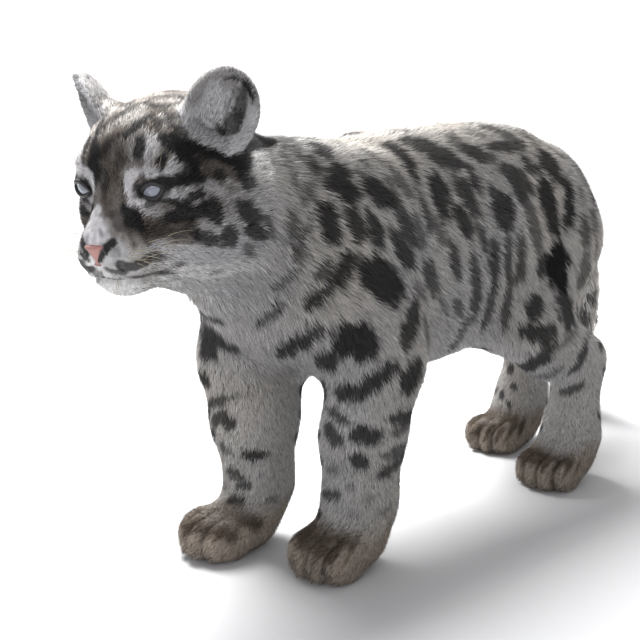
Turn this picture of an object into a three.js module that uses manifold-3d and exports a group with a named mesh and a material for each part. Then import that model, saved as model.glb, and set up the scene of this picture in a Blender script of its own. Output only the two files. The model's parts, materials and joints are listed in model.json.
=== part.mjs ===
// A young snow leopard standing with its weight on all four feet, head turned a little to its left.
// Millimetres, +Z up. The animal faces -Y and its left side is +X.
// The body is one smooth field of blended masses. Each node is that field, meshed on a grid that suits
// its own detail and parted from its neighbours by thin flat cuts.
import * as THREE from 'three';
import { mergeVertices } from 'three/addons/utils/BufferGeometryUtils.js';
import Module from 'manifold-3d';

const wasm = await Module();
wasm.setup();

// Driving sizes
const GAP = 0.3;
const SIDE = { left: 1, right: -1 };
const SHOULDER = { x: 70, y: -205, z: 350 };
const HIP = { x: 68, y: 205, z: 362 };
const EYE = { radius: 15, forward: 52, out: 37, up: 10 };
const HEAD = { x: 4, y: -428, z: 432, turn: 16, nod: 14 };
const TAIL_THICK = 40;
const GROUND = -7;

// Stations of the trunk from the breast to the rump: place along Y, half width, back, belly
const TRUNK = [
  { y: -235, wide: 92, top: 458, low: 214 },
  { y: -150, wide: 104, top: 474, low: 190 },
  { y: -40, wide: 110, top: 482, low: 186 },
  { y: 70, wide: 106, top: 486, low: 200 },
  { y: 150, wide: 97, top: 480, low: 228 },
  { y: 204, wide: 85, top: 462, low: 256 },
];
const BREAST_DEPTH = 92;
const RUMP_DEPTH = 78;

// Joint centres of each leg, as [x, y, z, half width, half depth]
const FORE = {
  left: { elbow: [72, -186, 218, 46, 62], mid: [69, -202, 140, 42, 50], wrist: [68, -206, 66, 38, 42], paw: [66, -240, 4] },
  right: { elbow: [-76, -233, 218, 51, 71], mid: [-71, -236, 140, 43, 54], wrist: [-68, -233, 66, 36, 40], paw: [-66, -286, 8] },
};
const HIND = {
  left: { knee: [78, 100, 224], shin: [79, 164, 186], hock: [80, 230, 162], ankle: [78, 221, 60], paw: [75, 186, 6] },
  right: { knee: [-78, 206, 206], shin: [-79, 282, 178], hock: [-78, 352, 164], ankle: [-75, 324, 60], paw: [-74, 274, 6] },
};
const TAIL_PATH = [
  [0, 240, 408], [-14, 308, 386], [-44, 386, 318], [-62, 440, 230], [-92, 486, 146], [-140, 530, 88],
  [-200, 574, 68], [-256, 610, 92], [-290, 632, 150], [-296, 640, 210],
];

// Distances, negative inside
const { hypot, max, min, abs, sin, cos } = Math;
const radians = THREE.MathUtils.degToRad;

function ellipsoid(cx, cy, cz, rx, ry, rz) {
  return (x, y, z) => {
    const u = (x - cx) / rx;
    const v = (y - cy) / ry;
    const w = (z - cz) / rz;
    const shell = hypot(u, v, w);
    const slope = hypot(u / rx, v / ry, w / rz);
    return slope < 1e-9 ? -min(rx, ry, rz) : shell * (shell - 1) / slope;
  };
}

// A limb length from a to b, oval in plan: half width across X, half depth along Y
function limb(a, b) {
  const [ax, ay, az, aw, ad = aw] = a;
  const [bx, by, bz, bw, bd = bw] = b;
  const dx = bx - ax;
  const dy = by - ay;
  const dz = bz - az;
  const length2 = dx * dx + dy * dy + dz * dz;
  return (x, y, z) => {
    const t = min(1, max(0, ((x - ax) * dx + (y - ay) * dy + (z - az) * dz) / length2));
    const wide = aw + (bw - aw) * t;
    const deep = ad + (bd - ad) * t;
    const small = min(wide, deep);
    const px = (x - ax - dx * t) / wide;
    const py = (y - ay - dy * t) / deep;
    const pz = (z - az - dz * t) / small;
    return (hypot(px, py, pz) - 1) * small;
  };
}

function blend(soft, ...fields) {
  return (x, y, z) => {
    let near = fields[0](x, y, z);
    for (let i = 1; i < fields.length; i += 1) {
      const next = fields[i](x, y, z);
      const mix = max(soft - abs(near - next), 0) / soft;
      near = min(near, next) - mix * mix * soft / 4;
    }
    return near;
  };
}

// Cubic through the trunk's stations
function station(y) {
  const last = TRUNK.length - 1;
  const at = min(TRUNK[last].y, max(TRUNK[0].y, y));
  let i = 0;
  while (i < last - 1 && at > TRUNK[i + 1].y) i += 1;
  const a = TRUNK[i];
  const b = TRUNK[i + 1];
  const before = TRUNK[max(0, i - 1)];
  const after = TRUNK[min(last, i + 2)];
  const t = (at - a.y) / (b.y - a.y);
  const cubic = (key) => {
    const m0 = i === 0 ? 0 : (b[key] - before[key]) / (b.y - before.y) * (b.y - a.y);
    const m1 = i === last - 1 ? 0 : (after[key] - a[key]) / (after.y - a.y) * (b.y - a.y);
    const t2 = t * t;
    const t3 = t2 * t;
    return (2 * t3 - 3 * t2 + 1) * a[key] + (t3 - 2 * t2 + t) * m0
      + (3 * t2 - 2 * t3) * b[key] + (t3 - t2) * m1;
  };
  return { wide: cubic('wide'), top: cubic('top'), low: cubic('low') };
}

function trunk(x, y, z) {
  const { wide, top, low } = station(y);
  const middle = low + (top - low) * 0.5;
  const tall = (top - low) * 0.5;
  const front = TRUNK[0].y;
  const back = TRUNK[TRUNK.length - 1].y;
  const beyond = y < front ? (y - front) / BREAST_DEPTH : y > back ? (y - back) / RUMP_DEPTH : 0;
  const deep = y < front ? BREAST_DEPTH : RUMP_DEPTH;
  const u = x / wide;
  const w = (z - middle) / tall;
  // The ribs are fuller than an ellipse: a soft box power
  const power = 2.25;
  const shell = (abs(u) ** power + abs(w) ** power + abs(beyond) ** power) ** (1 / power);
  const slope = hypot(u / wide, w / tall, beyond / deep) / max(1e-6, hypot(u, w, beyond));
  return shell < 1e-6 ? -wide : (shell - 1) / slope;
}

// Legs
function foreleg(side) {
  const s = SIDE[side];
  const { elbow, mid, wrist, paw } = FORE[side];
  const shoulderY = SHOULDER.y + (elbow[1] + 186) * 0.55;
  const blade = ellipsoid(s * 62, shoulderY + 4, SHOULDER.z + 12, 42, 74, 96);
  const arm = limb([s * 66, shoulderY - 22, 296, 40, 62], elbow);
  const upper = limb(elbow, mid);
  const lower = limb(mid, wrist);
  const heel = limb(wrist, [wrist[0], wrist[1] - 8, 34, 35, 37]);
  return blend(26, blend(30, blade, arm), upper, lower, blend(16, heel, pawField(paw, s, 1)));
}

function hindleg(side) {
  const s = SIDE[side];
  const { knee, shin, hock, ankle, paw } = HIND[side];
  const swing = (knee[1] - 150) * 0.25;
  const haunch = ellipsoid(s * 57, HIP.y - 23 + swing * 0.4, 318, 46, 93, 112);
  const thigh = limb([s * HIP.x, HIP.y + swing, 330, 44, 74], [...knee, 45, 54]);
  const calf = limb([...knee, 43, 50], [...shin, 42, 46]);
  const shank = limb([...shin, 42, 46], [...hock, 35, 33]);
  const cannon = limb([...hock, 35, 33], [...ankle, 37, 38]);
  const heel = limb([...ankle, 37, 38], [ankle[0], ankle[1] - 10, 34, 36, 38]);
  return blend(26, blend(34, haunch, thigh), calf, shank, cannon, blend(16, heel, pawField(paw, s, 0.98)));
}

// A broad furred paw on the ground: a pad and four toes fanned forward
const TOES = [
  { out: -31, ahead: 17 },
  { out: -11, ahead: 31 },
  { out: 11, ahead: 32 },
  { out: 31, ahead: 19 },
];
function pawField([px, py, turn], s, size) {
  const angle = radians(turn * s);
  const pad = ellipsoid(0, -16, 27, 41, 46, 31);
  const toes = TOES.map(({ out, ahead }) => ellipsoid(out, ahead, 22, 15, 31, 26));
  const local = blend(9, ...toes);
  const whole = blend(14, local, pad);
  const ca = cos(angle);
  const sa = sin(angle);
  return (x, y, z) => {
    const dx = (x - px) / size;
    const dy = (y - py) / size;
    return whole(dx * ca + dy * sa, dx * sa - dy * ca, (z - GROUND) / size) * size;
  };
}

// Head, in its own frame: X out to the left, Y back, Z up
const headMatrix = new THREE.Matrix4()
  .makeTranslation(HEAD.x, HEAD.y, HEAD.z)
  .multiply(new THREE.Matrix4().makeRotationZ(radians(HEAD.turn)))
  .multiply(new THREE.Matrix4().makeRotationX(radians(HEAD.nod)));
const headInverse = headMatrix.clone().invert();

function both(make) {
  return [make(1), make(-1)];
}

const skull = blend(24,
  ellipsoid(0, 22, 16, 70, 80, 63),
  ellipsoid(0, -28, 32, 50, 46, 40),
  ...both((s) => ellipsoid(s * 44, -4, -26, 38, 54, 45)));
const brow = blend(14, ...both((s) => ellipsoid(s * 31, -47, 27, 22, 20, 14)));
const snout = blend(16,
  limb([0, -48, -20, 37, 34], [0, -80, -36, 29, 30]),
  limb([0, -46, 10, 24, 24], [0, -92, -24, 16, 18]),
  ...both((s) => ellipsoid(s * 17, -84, -46, 21, 26, 20)));
const jaw = blend(14,
  ellipsoid(0, -66, -72, 26, 37, 22),
  ellipsoid(0, -20, -62, 44, 50, 24));
const lids = blend(2, ...both((s) => ellipsoid(s * EYE.out, -EYE.forward, EYE.up,
  EYE.radius + 4, EYE.radius + 4, EYE.radius + 4)));
const headLocal = blend(7, blend(20, blend(16, skull, brow), snout, jaw), lids);

const scratch = new THREE.Vector3();
function head(x, y, z) {
  scratch.set(x, y, z).applyMatrix4(headInverse);
  return headLocal(scratch.x, scratch.y, scratch.z);
}

const neck = limb([0, -255, 376, 88], [2, -372, 410, 76]);
const throat = limb([0, -285, 316, 66], [3, -380, 372, 55]);

const tailCurve = new THREE.CatmullRomCurve3(TAIL_PATH.map((p) => new THREE.Vector3(...p)));
const TAIL_STEPS = 24;
const tailPoints = tailCurve.getSpacedPoints(TAIL_STEPS);
function tailRadius(t) {
  const root = 30 + 10 * min(1, t * 4);
  const tip = t > 0.9 ? 1 - ((t - 0.9) / 0.1) ** 2 * 0.35 : 1;
  return (root + 3 * sin(t * Math.PI)) * tip * TAIL_THICK / 40;
}
const tailUpTo = (steps) => (x, y, z) => {
  let near = Infinity;
  for (let i = 0; i < steps; i += 1) {
    const a = tailPoints[i];
    const b = tailPoints[i + 1];
    const dx = b.x - a.x;
    const dy = b.y - a.y;
    const dz = b.z - a.z;
    const t = min(1, max(0, ((x - a.x) * dx + (y - a.y) * dy + (z - a.z) * dz)
      / (dx * dx + dy * dy + dz * dz)));
    const gap = hypot(x - a.x - dx * t, y - a.y - dy * t, z - a.z - dz * t);
    near = min(near, gap - tailRadius((i + t) / TAIL_STEPS));
  }
  return near;
};
const tail = tailUpTo(TAIL_STEPS);
const tailStump = tailUpTo(6);

const limbs = [foreleg('left'), foreleg('right'), hindleg('left'), hindleg('right')];
const torso = blend(46, trunk, neck, throat);
const withLegs = blend(30, torso, ...limbs);
const body = blend(30, blend(44, withLegs, head), tailStump);

// Meshing: one vertex in each grid cell that the surface crosses, pulled onto the surface
function evenLines(low, high, step) {
  const count = Math.ceil((high - low) / step);
  return Array.from({ length: count + 1 }, (_, i) => low + i * step);
}

function meshField(field, xs, ys, zs) {
  const [nx, ny, nz] = [xs.length, ys.length, zs.length];
  const index = (i, j, k) => (k * ny + j) * nx + i;
  const values = new Float64Array(nx * ny * nz);
  for (let k = 0; k < nz; k += 1) {
    for (let j = 0; j < ny; j += 1) {
      for (let i = 0; i < nx; i += 1) values[index(i, j, k)] = field(xs[i], ys[j], zs[k]);
    }
  }
  const corners = [0, 1, 2, 3, 4, 5, 6, 7].map((n) => [n & 1, (n >> 1) & 1, n >> 2]);
  const positions = [];
  const cells = new Int32Array(nx * ny * nz).fill(-1);
  for (let k = 0; k < nz - 1; k += 1) {
    for (let j = 0; j < ny - 1; j += 1) {
      for (let i = 0; i < nx - 1; i += 1) {
        const point = cellPoint(field, values, index, corners, xs, ys, zs, i, j, k);
        if (point) {
          cells[index(i, j, k)] = positions.length / 3;
          positions.push(...point);
        }
      }
    }
  }
  const faces = [];
  const quad = (a, b, c, d, flip) => {
    if (flip) faces.push(a, c, b, a, d, c);
    else faces.push(a, b, c, a, c, d);
  };
  for (let k = 1; k < nz - 1; k += 1) {
    for (let j = 1; j < ny - 1; j += 1) {
      for (let i = 1; i < nx - 1; i += 1) {
        const inside = values[index(i, j, k)] < 0;
        const at = (di, dj, dk) => cells[index(i - di, j - dj, k - dk)];
        if (inside !== values[index(i + 1, j, k)] < 0) {
          quad(at(0, 0, 0), at(0, 1, 0), at(0, 1, 1), at(0, 0, 1), !inside);
        }
        if (inside !== values[index(i, j + 1, k)] < 0) {
          quad(at(0, 0, 0), at(0, 0, 1), at(1, 0, 1), at(1, 0, 0), !inside);
        }
        if (inside !== values[index(i, j, k + 1)] < 0) {
          quad(at(0, 0, 0), at(1, 0, 0), at(1, 1, 0), at(0, 1, 0), !inside);
        }
      }
    }
  }
  const geometry = new THREE.BufferGeometry();
  geometry.setAttribute('position', new THREE.Float32BufferAttribute(positions, 3));
  geometry.setIndex(faces);
  return geometry;
}

function cellPoint(field, values, index, corners, xs, ys, zs, i, j, k) {
  const value = corners.map(([a, b, c]) => values[index(i + a, j + b, k + c)]);
  const inside = value.filter((v) => v < 0).length;
  if (inside === 0 || inside === 8) return null;
  let count = 0;
  const sum = [0, 0, 0];
  for (let a = 0; a < 8; a += 1) {
    for (const bit of [1, 2, 4]) {
      const b = a | bit;
      if (a !== b && value[a] < 0 !== value[b] < 0) {
        const t = value[a] / (value[a] - value[b]);
        const step = [bit === 1 ? t : 0, bit === 2 ? t : 0, bit === 4 ? t : 0];
        for (let n = 0; n < 3; n += 1) sum[n] += corners[a][n] + step[n];
        count += 1;
      }
    }
  }
  const cell = [xs[i + 1] - xs[i], ys[j + 1] - ys[j], zs[k + 1] - zs[k]];
  const point = [xs[i], ys[j], zs[k]].map((low, n) => low + cell[n] * sum[n] / count);
  return settle(field, point, [xs[i], ys[j], zs[k]], cell);
}

// Moves a point along the field's slope to the surface, kept inside its own cell
function settle(field, point, low, cell) {
  const e = 0.5;
  const inset = 0.04;
  let [x, y, z] = point;
  for (let pass = 0; pass < 3; pass += 1) {
    const value = field(x, y, z);
    const gx = (field(x + e, y, z) - field(x - e, y, z)) / (2 * e);
    const gy = (field(x, y + e, z) - field(x, y - e, z)) / (2 * e);
    const gz = (field(x, y, z + e) - field(x, y, z - e)) / (2 * e);
    const g2 = max(0.05, gx * gx + gy * gy + gz * gz);
    x -= value * gx / g2;
    y -= value * gy / g2;
    z -= value * gz / g2;
  }
  return [x, y, z].map((v, n) => min(low[n] + cell[n] * (1 - inset), max(low[n] + cell[n] * inset, v)));
}

// Solids
function solid(geometry) {
  const bare = geometry.index ? geometry.toNonIndexed() : geometry.clone();
  bare.deleteAttribute('normal');
  bare.deleteAttribute('uv');
  const merged = mergeVertices(bare, 1e-4);
  return new wasm.Manifold(new wasm.Mesh({
    numProp: 3,
    vertProperties: merged.attributes.position.array,
    triVerts: new Uint32Array(merged.index.array),
  }));
}

function largest(shape) {
  return shape.decompose().sort((a, b) => b.volume() - a.volume())[0];
}

// The space in front of every plane given as [normal x, y, z, point x, y, z], drawn back by inset
function wedge(planes, inset) {
  const reach = 4000;
  let space = solid(new THREE.BoxGeometry(reach, reach, reach));
  for (const [nx, ny, nz, px, py, pz] of planes) {
    const size = hypot(nx, ny, nz);
    const normal = [nx / size, ny / size, nz / size];
    space = space.trimByPlane(normal, normal[0] * px + normal[1] * py + normal[2] * pz + inset);
  }
  return space;
}

const within = (shape, ...planes) => shape.intersect(wedge(planes, GAP / 2));
const without = (shape, ...planes) => shape.subtract(wedge(planes, -GAP / 2));
const flip = ([nx, ny, nz, ...point]) => [-nx, -ny, -nz, ...point];

// The field meshed inside a box; where the box crosses the body it closes it flat, for a later cut to remove
function meshBox(field, [x0, x1], [y0, y1], [z0, z1], step) {
  const half = [(x1 - x0) / 2 - step, (y1 - y0) / 2 - step, (z1 - z0) / 2 - step];
  const middle = [(x0 + x1) / 2, (y0 + y1) / 2, (z0 + z1) / 2];
  const boxed = (x, y, z) => max(
    field(x, y, z),
    abs(x - middle[0]) - half[0],
    abs(y - middle[1]) - half[1],
    abs(z - middle[2]) - half[2],
  );
  return meshField(boxed, evenLines(x0, x1, step), evenLines(y0, y1, step), evenLines(z0, z1, step));
}

const region = (xs, ys, zs, step) => solid(meshBox(body, xs, ys, zs, step));

const leopard = new THREE.Group();
const looks = {
  coat: new THREE.MeshStandardMaterial({ color: 0xb9b4ac, roughness: 0.9, metalness: 0 }),
  paw: new THREE.MeshStandardMaterial({ color: 0x8b7d6e, roughness: 0.9, metalness: 0 }),
  eye: new THREE.MeshStandardMaterial({ color: 0xaab4c4, roughness: 0.1, metalness: 0 }),
  nose: new THREE.MeshStandardMaterial({ color: 0xb9776c, roughness: 0.5, metalness: 0 }),
  claw: new THREE.MeshStandardMaterial({ color: 0x4a423a, roughness: 0.4, metalness: 0 }),
};

function addNode(name, shape, look) {
  const mesh = largest(shape).getMesh();
  const geometry = new THREE.BufferGeometry();
  geometry.setAttribute('position', new THREE.BufferAttribute(new Float32Array(mesh.vertProperties), 3));
  geometry.setIndex(new THREE.BufferAttribute(new Uint32Array(mesh.triVerts), 1));
  geometry.computeVertexNormals();
  const node = new THREE.Mesh(geometry, looks[look]);
  node.name = name;
  leopard.add(node);
}

// Where the parts meet: each plane as its normal and a point on it
const NECK_FRONT = [0.1, 1, -0.28, 2, -352, 400];
const NECK_BACK = [0, 1, -0.45, 0, -262, 360];
const WAIST = [0, 1, 0, 0, -60, 300];
const LOIN = [0, 1, 0, 0, 96, 300];
const TAIL_ROOT = [-0.24, 0.5, -0.83, -25, 358, 338];
const BEHIND_RUMP = [0, 1, 0, 0, 312, 0];
const FLOOR = [0, 0, 1, 0, 0, GROUND];
const forelegPlanes = (s) => [[s * 0.72, 0, -0.7, s * 20, 0, 198], [0, -1, 0, 0, -118, 0], [s, 0, 0, 0, 0, 0]];
const hindlegPlanes = (s) => [[s * 0.66, 0, -0.74, s * 10, 0, 240], [0, 1, 0.3, 0, 40, 200], [s, 0, 0, 0, 0, 0]];

// Trunk
const TRUNK_STEP = 28;
const core = region([-170, 170], [-500, 450], [110, 580], TRUNK_STEP);
const cuts = [forelegPlanes(1), forelegPlanes(-1), hindlegPlanes(1), hindlegPlanes(-1)];
const trunkOnly = cuts.reduce((shape, planes) => without(shape, ...planes), core);
addNode('neck', within(trunkOnly, flip(NECK_BACK), NECK_FRONT), 'coat');
addNode('chest', within(trunkOnly, NECK_BACK, flip(WAIST)), 'coat');
addNode('belly', within(trunkOnly, WAIST, flip(LOIN)), 'coat');
addNode('rump', without(within(trunkOnly, LOIN), TAIL_ROOT, BEHIND_RUMP), 'coat');

// A claw tip at the front of each toe, in a pocket a gap wider than itself
const CLAW = { radius: 2.8, length: 15, droop: 24, ahead: 23, height: 9 };
function claw({ out, ahead }, [px, py, turn], s, extra) {
  const length = CLAW.length + extra * 8;
  return new THREE.ConeGeometry(CLAW.radius + extra * 1.4, length, 6)
    .rotateX(radians(90 + CLAW.droop))
    .applyMatrix4(new THREE.Matrix4().makeTranslation(out, -ahead - CLAW.ahead, GROUND + CLAW.height))
    .rotateZ(radians(turn * s))
    .translate(px, py, 0);
}

function addPaw(end, side, paw, place) {
  const s = SIDE[side];
  const pocketed = TOES.reduce((shape, toe) => shape.subtract(solid(claw(toe, place, s, GAP))), paw);
  addNode(`${end}paw_${side}`, pocketed, 'paw');
  TOES.forEach((toe, i) => {
    addNode(`claw_${end}_${side}_${i + 1}`, solid(claw(toe, place, s, 0)), 'claw');
  });
}

// Legs: a length above the elbow or knee, a length below, and the paw
const LEG_STEP = 21.5;
const PAW_STEP = 12.5;
const down = (x, y, z) => [0, 0, -1, x, y, z];
for (const side of ['left', 'right']) {
  const s = SIDE[side];
  const reach = s > 0 ? [-30, 160] : [-160, 30];
  const { paw: forePaw } = FORE[side];
  const { paw: hindPaw } = HIND[side];

  const fore = region(reach, [-410, -70], [-40, 380], LEG_STEP);
  const elbow = down(0, 0, 190);
  const wrist = down(0, 0, 58);
  addNode(`upper_foreleg_${side}`, within(fore, ...forelegPlanes(s), flip(elbow)), 'coat');
  addNode(`forearm_${side}`, within(fore, ...forelegPlanes(s), elbow, flip(wrist)), 'coat');
  const forePawSolid = region(reach, [forePaw[1] - 100, forePaw[1] + 120], [-34, 84], PAW_STEP);
  addPaw('fore', side, within(forePawSolid, wrist, FLOOR), forePaw);

  const hind = region(reach, [-40, 440], [-40, 480], LEG_STEP);
  const knee = [0, 0.6, -1, 0, HIND[side].knee[1] + 60, 205];
  const hock = down(0, 0, 139);
  const ankle = down(0, 0, 58);
  addNode(`thigh_${side}`, within(hind, ...hindlegPlanes(s), flip(knee)), 'coat');
  addNode(`shank_${side}`, within(hind, ...hindlegPlanes(s), knee, flip(hock)), 'coat');
  addNode(`cannon_${side}`, within(hind, ...hindlegPlanes(s), hock, flip(ankle)), 'coat');
  const hindPawSolid = region(reach, [hindPaw[1] - 100, hindPaw[1] + 120], [-34, 84], PAW_STEP);
  addPaw('hind', side, within(hindPawSolid, ankle, FLOOR), hindPaw);
}

// Tail in lengths
const TAIL_STEP = 23;
const tailWhole = within(solid(meshBox(tail, [-370, 80], [200, 720], [0, 480], TAIL_STEP)), BEHIND_RUMP);
const tailCut = (i) => {
  const along = tailCurve.getTangentAt(i / TAIL_STEPS);
  return [along.x, along.y, along.z, ...tailPoints[i].toArray()];
};
const tailCuts = [TAIL_ROOT, tailCut(9), tailCut(14), tailCut(19)];
tailCuts.forEach((cut, i) => {
  const end = tailCuts[i + 1];
  addNode(`tail_${i + 1}`, within(tailWhole, cut, ...(end ? [flip(end)] : [])), 'coat');
});

// Head: the field, then the lids' openings, the mouth, the nose pad's bed and the nostrils cut into it
const HEAD_STEP = 11.4;
const bodyInHead = (x, y, z) => {
  const at = new THREE.Vector3(x, y, z).applyMatrix4(headMatrix);
  return body(at.x, at.y, at.z);
};
const headBlock = (grow) => solid(meshBox(
  (x, y, z) => bodyInHead(x, y, z) - grow, [-125, 125], [-135, 135], [-135, 115], HEAD_STEP,
));
const matrix = (x, y, z, rx = 0, ry = 0, rz = 0) => new THREE.Matrix4().compose(
  new THREE.Vector3(x, y, z),
  new THREE.Quaternion().setFromEuler(new THREE.Euler(radians(rx), radians(ry), radians(rz), 'ZYX')),
  new THREE.Vector3(1, 1, 1),
);

function eyeball(s, extra) {
  return new THREE.SphereGeometry(EYE.radius + extra, 16, 10)
    .rotateX(Math.PI / 2)
    .applyMatrix4(matrix(s * EYE.out, -EYE.forward, EYE.up, 0, 0, s * LID.outward));
}

// The gap between the lids, an almond with its inner corner low
const LID = { half: 14.5, upper: 8.2, lower: 7.2, slant: 14, outward: 24 };
function lidOpening(s) {
  const almond = new THREE.Shape();
  almond.moveTo(-LID.half, 0);
  almond.quadraticCurveTo(0, LID.upper * 2, LID.half, 0);
  almond.quadraticCurveTo(0, -LID.lower * 2, -LID.half, 0);
  return new THREE.ExtrudeGeometry(almond, { depth: 40, bevelEnabled: false, curveSegments: 6 })
    .rotateZ(radians(s * LID.slant))
    .rotateX(Math.PI / 2)
    .applyMatrix4(matrix(s * EYE.out, -EYE.forward, EYE.up, 0, 0, s * LID.outward));
}

// The slit between the lips, a thin horseshoe round the muzzle
const MOUTH = { height: -64, slit: 1.8, back: -34, nod: -5 };
function mouthSlit() {
  const plan = new THREE.Shape();
  plan.moveTo(-62, MOUTH.back);
  plan.bezierCurveTo(-52, -104, -26, -136, 0, -136);
  plan.bezierCurveTo(26, -136, 52, -104, 62, MOUTH.back);
  plan.lineTo(27, MOUTH.back - 8);
  plan.bezierCurveTo(20, -78, 12, -90, 0, -91);
  plan.bezierCurveTo(-12, -90, -20, -78, -27, MOUTH.back - 8);
  return new THREE.ExtrudeGeometry(plan, { depth: MOUTH.slit, bevelEnabled: false, curveSegments: 5 })
    .rotateX(radians(MOUTH.nod))
    .translate(0, 0, MOUTH.height);
}

// The furrow from the nose pad down to the lip
function philtrum() {
  return new THREE.BoxGeometry(1.6, 20, 24).translate(0, -114, -52);
}

const NOSE = { wide: 15, tall: 16, chin: 4, depth: 12, round: 3.5, front: -112, height: -47, nod: 10 };
function nosePad(extra) {
  const outline = new THREE.Shape();
  outline.moveTo(-NOSE.wide + 4, NOSE.tall * 0.5);
  outline.quadraticCurveTo(0, NOSE.tall * 0.62, NOSE.wide - 4, NOSE.tall * 0.5);
  outline.quadraticCurveTo(NOSE.wide, NOSE.tall * 0.1, NOSE.chin, -NOSE.tall * 0.5);
  outline.lineTo(-NOSE.chin, -NOSE.tall * 0.5);
  outline.quadraticCurveTo(-NOSE.wide, NOSE.tall * 0.1, -NOSE.wide + 4, NOSE.tall * 0.5);
  return new THREE.ExtrudeGeometry(outline, {
    depth: NOSE.depth,
    bevelThickness: NOSE.round + extra,
    bevelSize: NOSE.round * 0.6 + extra,
    bevelSegments: 2,
    curveSegments: 4,
  })
    .rotateX(Math.PI / 2)
    .translate(0, NOSE.depth, 0)
    .applyMatrix4(matrix(0, NOSE.front + 4, NOSE.height + 8, NOSE.nod));
}

function nostril(s) {
  return new THREE.SphereGeometry(1, 8, 6)
    .scale(3, 8, 3.6)
    .applyMatrix4(matrix(s * 9, NOSE.front - 3, NOSE.height + 8, 0, s * -24, s * -18));
}

const EAR = { out: 70, back: 18, up: 58, wide: 38, thick: 21, tall: 47, face: 38 };
const EAR_LEAN = { left: 27, right: 40 };
const CUP = { wide: 30, thick: 20, tall: 40, ahead: 13, up: 2 };
function earShape(side) {
  const s = SIDE[side];
  const shell = new THREE.SphereGeometry(1, 18, 12).scale(EAR.wide, EAR.thick, EAR.tall);
  const cup = new THREE.SphereGeometry(1, 16, 10)
    .scale(CUP.wide, CUP.thick, CUP.tall)
    .translate(0, -CUP.ahead, CUP.up);
  const place = matrix(s * EAR.out, EAR.back, EAR.up, 0, s * EAR_LEAN[side], s * EAR.face);
  return solid(shell.applyMatrix4(place)).subtract(solid(cup.applyMatrix4(place)));
}

const inWorld = (shape) => shape.transform(headMatrix.elements);
const cutters = both((s) => [
  solid(eyeball(s, GAP)), solid(lidOpening(s)), solid(nostril(s)),
]).flat();
const face = [...cutters, solid(mouthSlit()), solid(philtrum()), solid(nosePad(GAP))];
const headShape = face.reduce((shape, tool) => shape.subtract(tool), headBlock(0));
addNode('head', within(inWorld(headShape), flip(NECK_FRONT)), 'coat');

const nostrils = both((s) => solid(nostril(s)));
addNode('nose_pad', inWorld(nostrils.reduce((shape, tool) => shape.subtract(tool), solid(nosePad(0)))), 'nose');
const grownHead = headBlock(GAP + 0.2);
for (const side of ['left', 'right']) {
  addNode(`eye_${side}`, inWorld(solid(eyeball(SIDE[side], 0))), 'eye');
  addNode(`ear_${side}`, inWorld(earShape(side).subtract(grownHead)), 'coat');
}

// The origin is under the middle of the animal, on the ground
leopard.updateMatrixWorld(true);
const box = new THREE.Box3().setFromObject(leopard, true);
const middle = box.getCenter(new THREE.Vector3());
leopard.position.set(-middle.x, -middle.y, -box.min.z);

export default leopard;
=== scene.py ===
# A young snow leopard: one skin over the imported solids, with a coat of tufts, eyes, nose, whiskers and claws.
# Body millimetres are the animal's own frame: it faces -Y, its left side is +X, +Z is up.
import json
from math import cos, pi, radians, sin

import bmesh
import bpy
import numpy as np
from mathutils import Matrix, Vector
from mathutils.bvhtree import BVHTree

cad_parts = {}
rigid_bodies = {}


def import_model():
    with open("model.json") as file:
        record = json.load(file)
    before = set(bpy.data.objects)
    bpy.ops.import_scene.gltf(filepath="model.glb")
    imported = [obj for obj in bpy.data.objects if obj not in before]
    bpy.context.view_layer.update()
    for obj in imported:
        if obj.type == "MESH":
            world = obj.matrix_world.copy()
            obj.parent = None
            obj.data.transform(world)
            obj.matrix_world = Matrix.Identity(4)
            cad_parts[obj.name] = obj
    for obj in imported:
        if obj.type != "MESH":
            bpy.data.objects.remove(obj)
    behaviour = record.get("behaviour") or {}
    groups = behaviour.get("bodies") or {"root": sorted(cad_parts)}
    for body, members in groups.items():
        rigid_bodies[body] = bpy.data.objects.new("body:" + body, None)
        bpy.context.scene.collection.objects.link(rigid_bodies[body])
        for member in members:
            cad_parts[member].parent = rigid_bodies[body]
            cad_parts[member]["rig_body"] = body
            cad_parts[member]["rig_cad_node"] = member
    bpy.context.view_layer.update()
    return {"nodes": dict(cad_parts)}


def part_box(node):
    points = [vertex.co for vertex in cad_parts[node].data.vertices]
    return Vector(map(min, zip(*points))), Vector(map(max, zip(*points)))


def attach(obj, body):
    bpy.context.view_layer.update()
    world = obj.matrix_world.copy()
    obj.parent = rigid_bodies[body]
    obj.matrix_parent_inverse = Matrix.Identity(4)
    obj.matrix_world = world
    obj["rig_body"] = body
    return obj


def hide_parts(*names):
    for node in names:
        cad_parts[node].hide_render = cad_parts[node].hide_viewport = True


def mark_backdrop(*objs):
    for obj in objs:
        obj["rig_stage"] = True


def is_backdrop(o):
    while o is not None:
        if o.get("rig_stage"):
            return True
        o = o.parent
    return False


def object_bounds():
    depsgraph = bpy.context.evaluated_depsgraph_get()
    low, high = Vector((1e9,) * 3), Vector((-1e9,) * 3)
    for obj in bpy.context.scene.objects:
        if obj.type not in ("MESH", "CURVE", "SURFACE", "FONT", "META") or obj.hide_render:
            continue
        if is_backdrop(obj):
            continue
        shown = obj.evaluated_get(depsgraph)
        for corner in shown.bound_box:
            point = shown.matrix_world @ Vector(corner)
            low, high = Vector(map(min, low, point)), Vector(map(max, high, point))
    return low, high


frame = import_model()
nodes = frame["nodes"]
SEED = 7
rng = np.random.default_rng(SEED)

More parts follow.
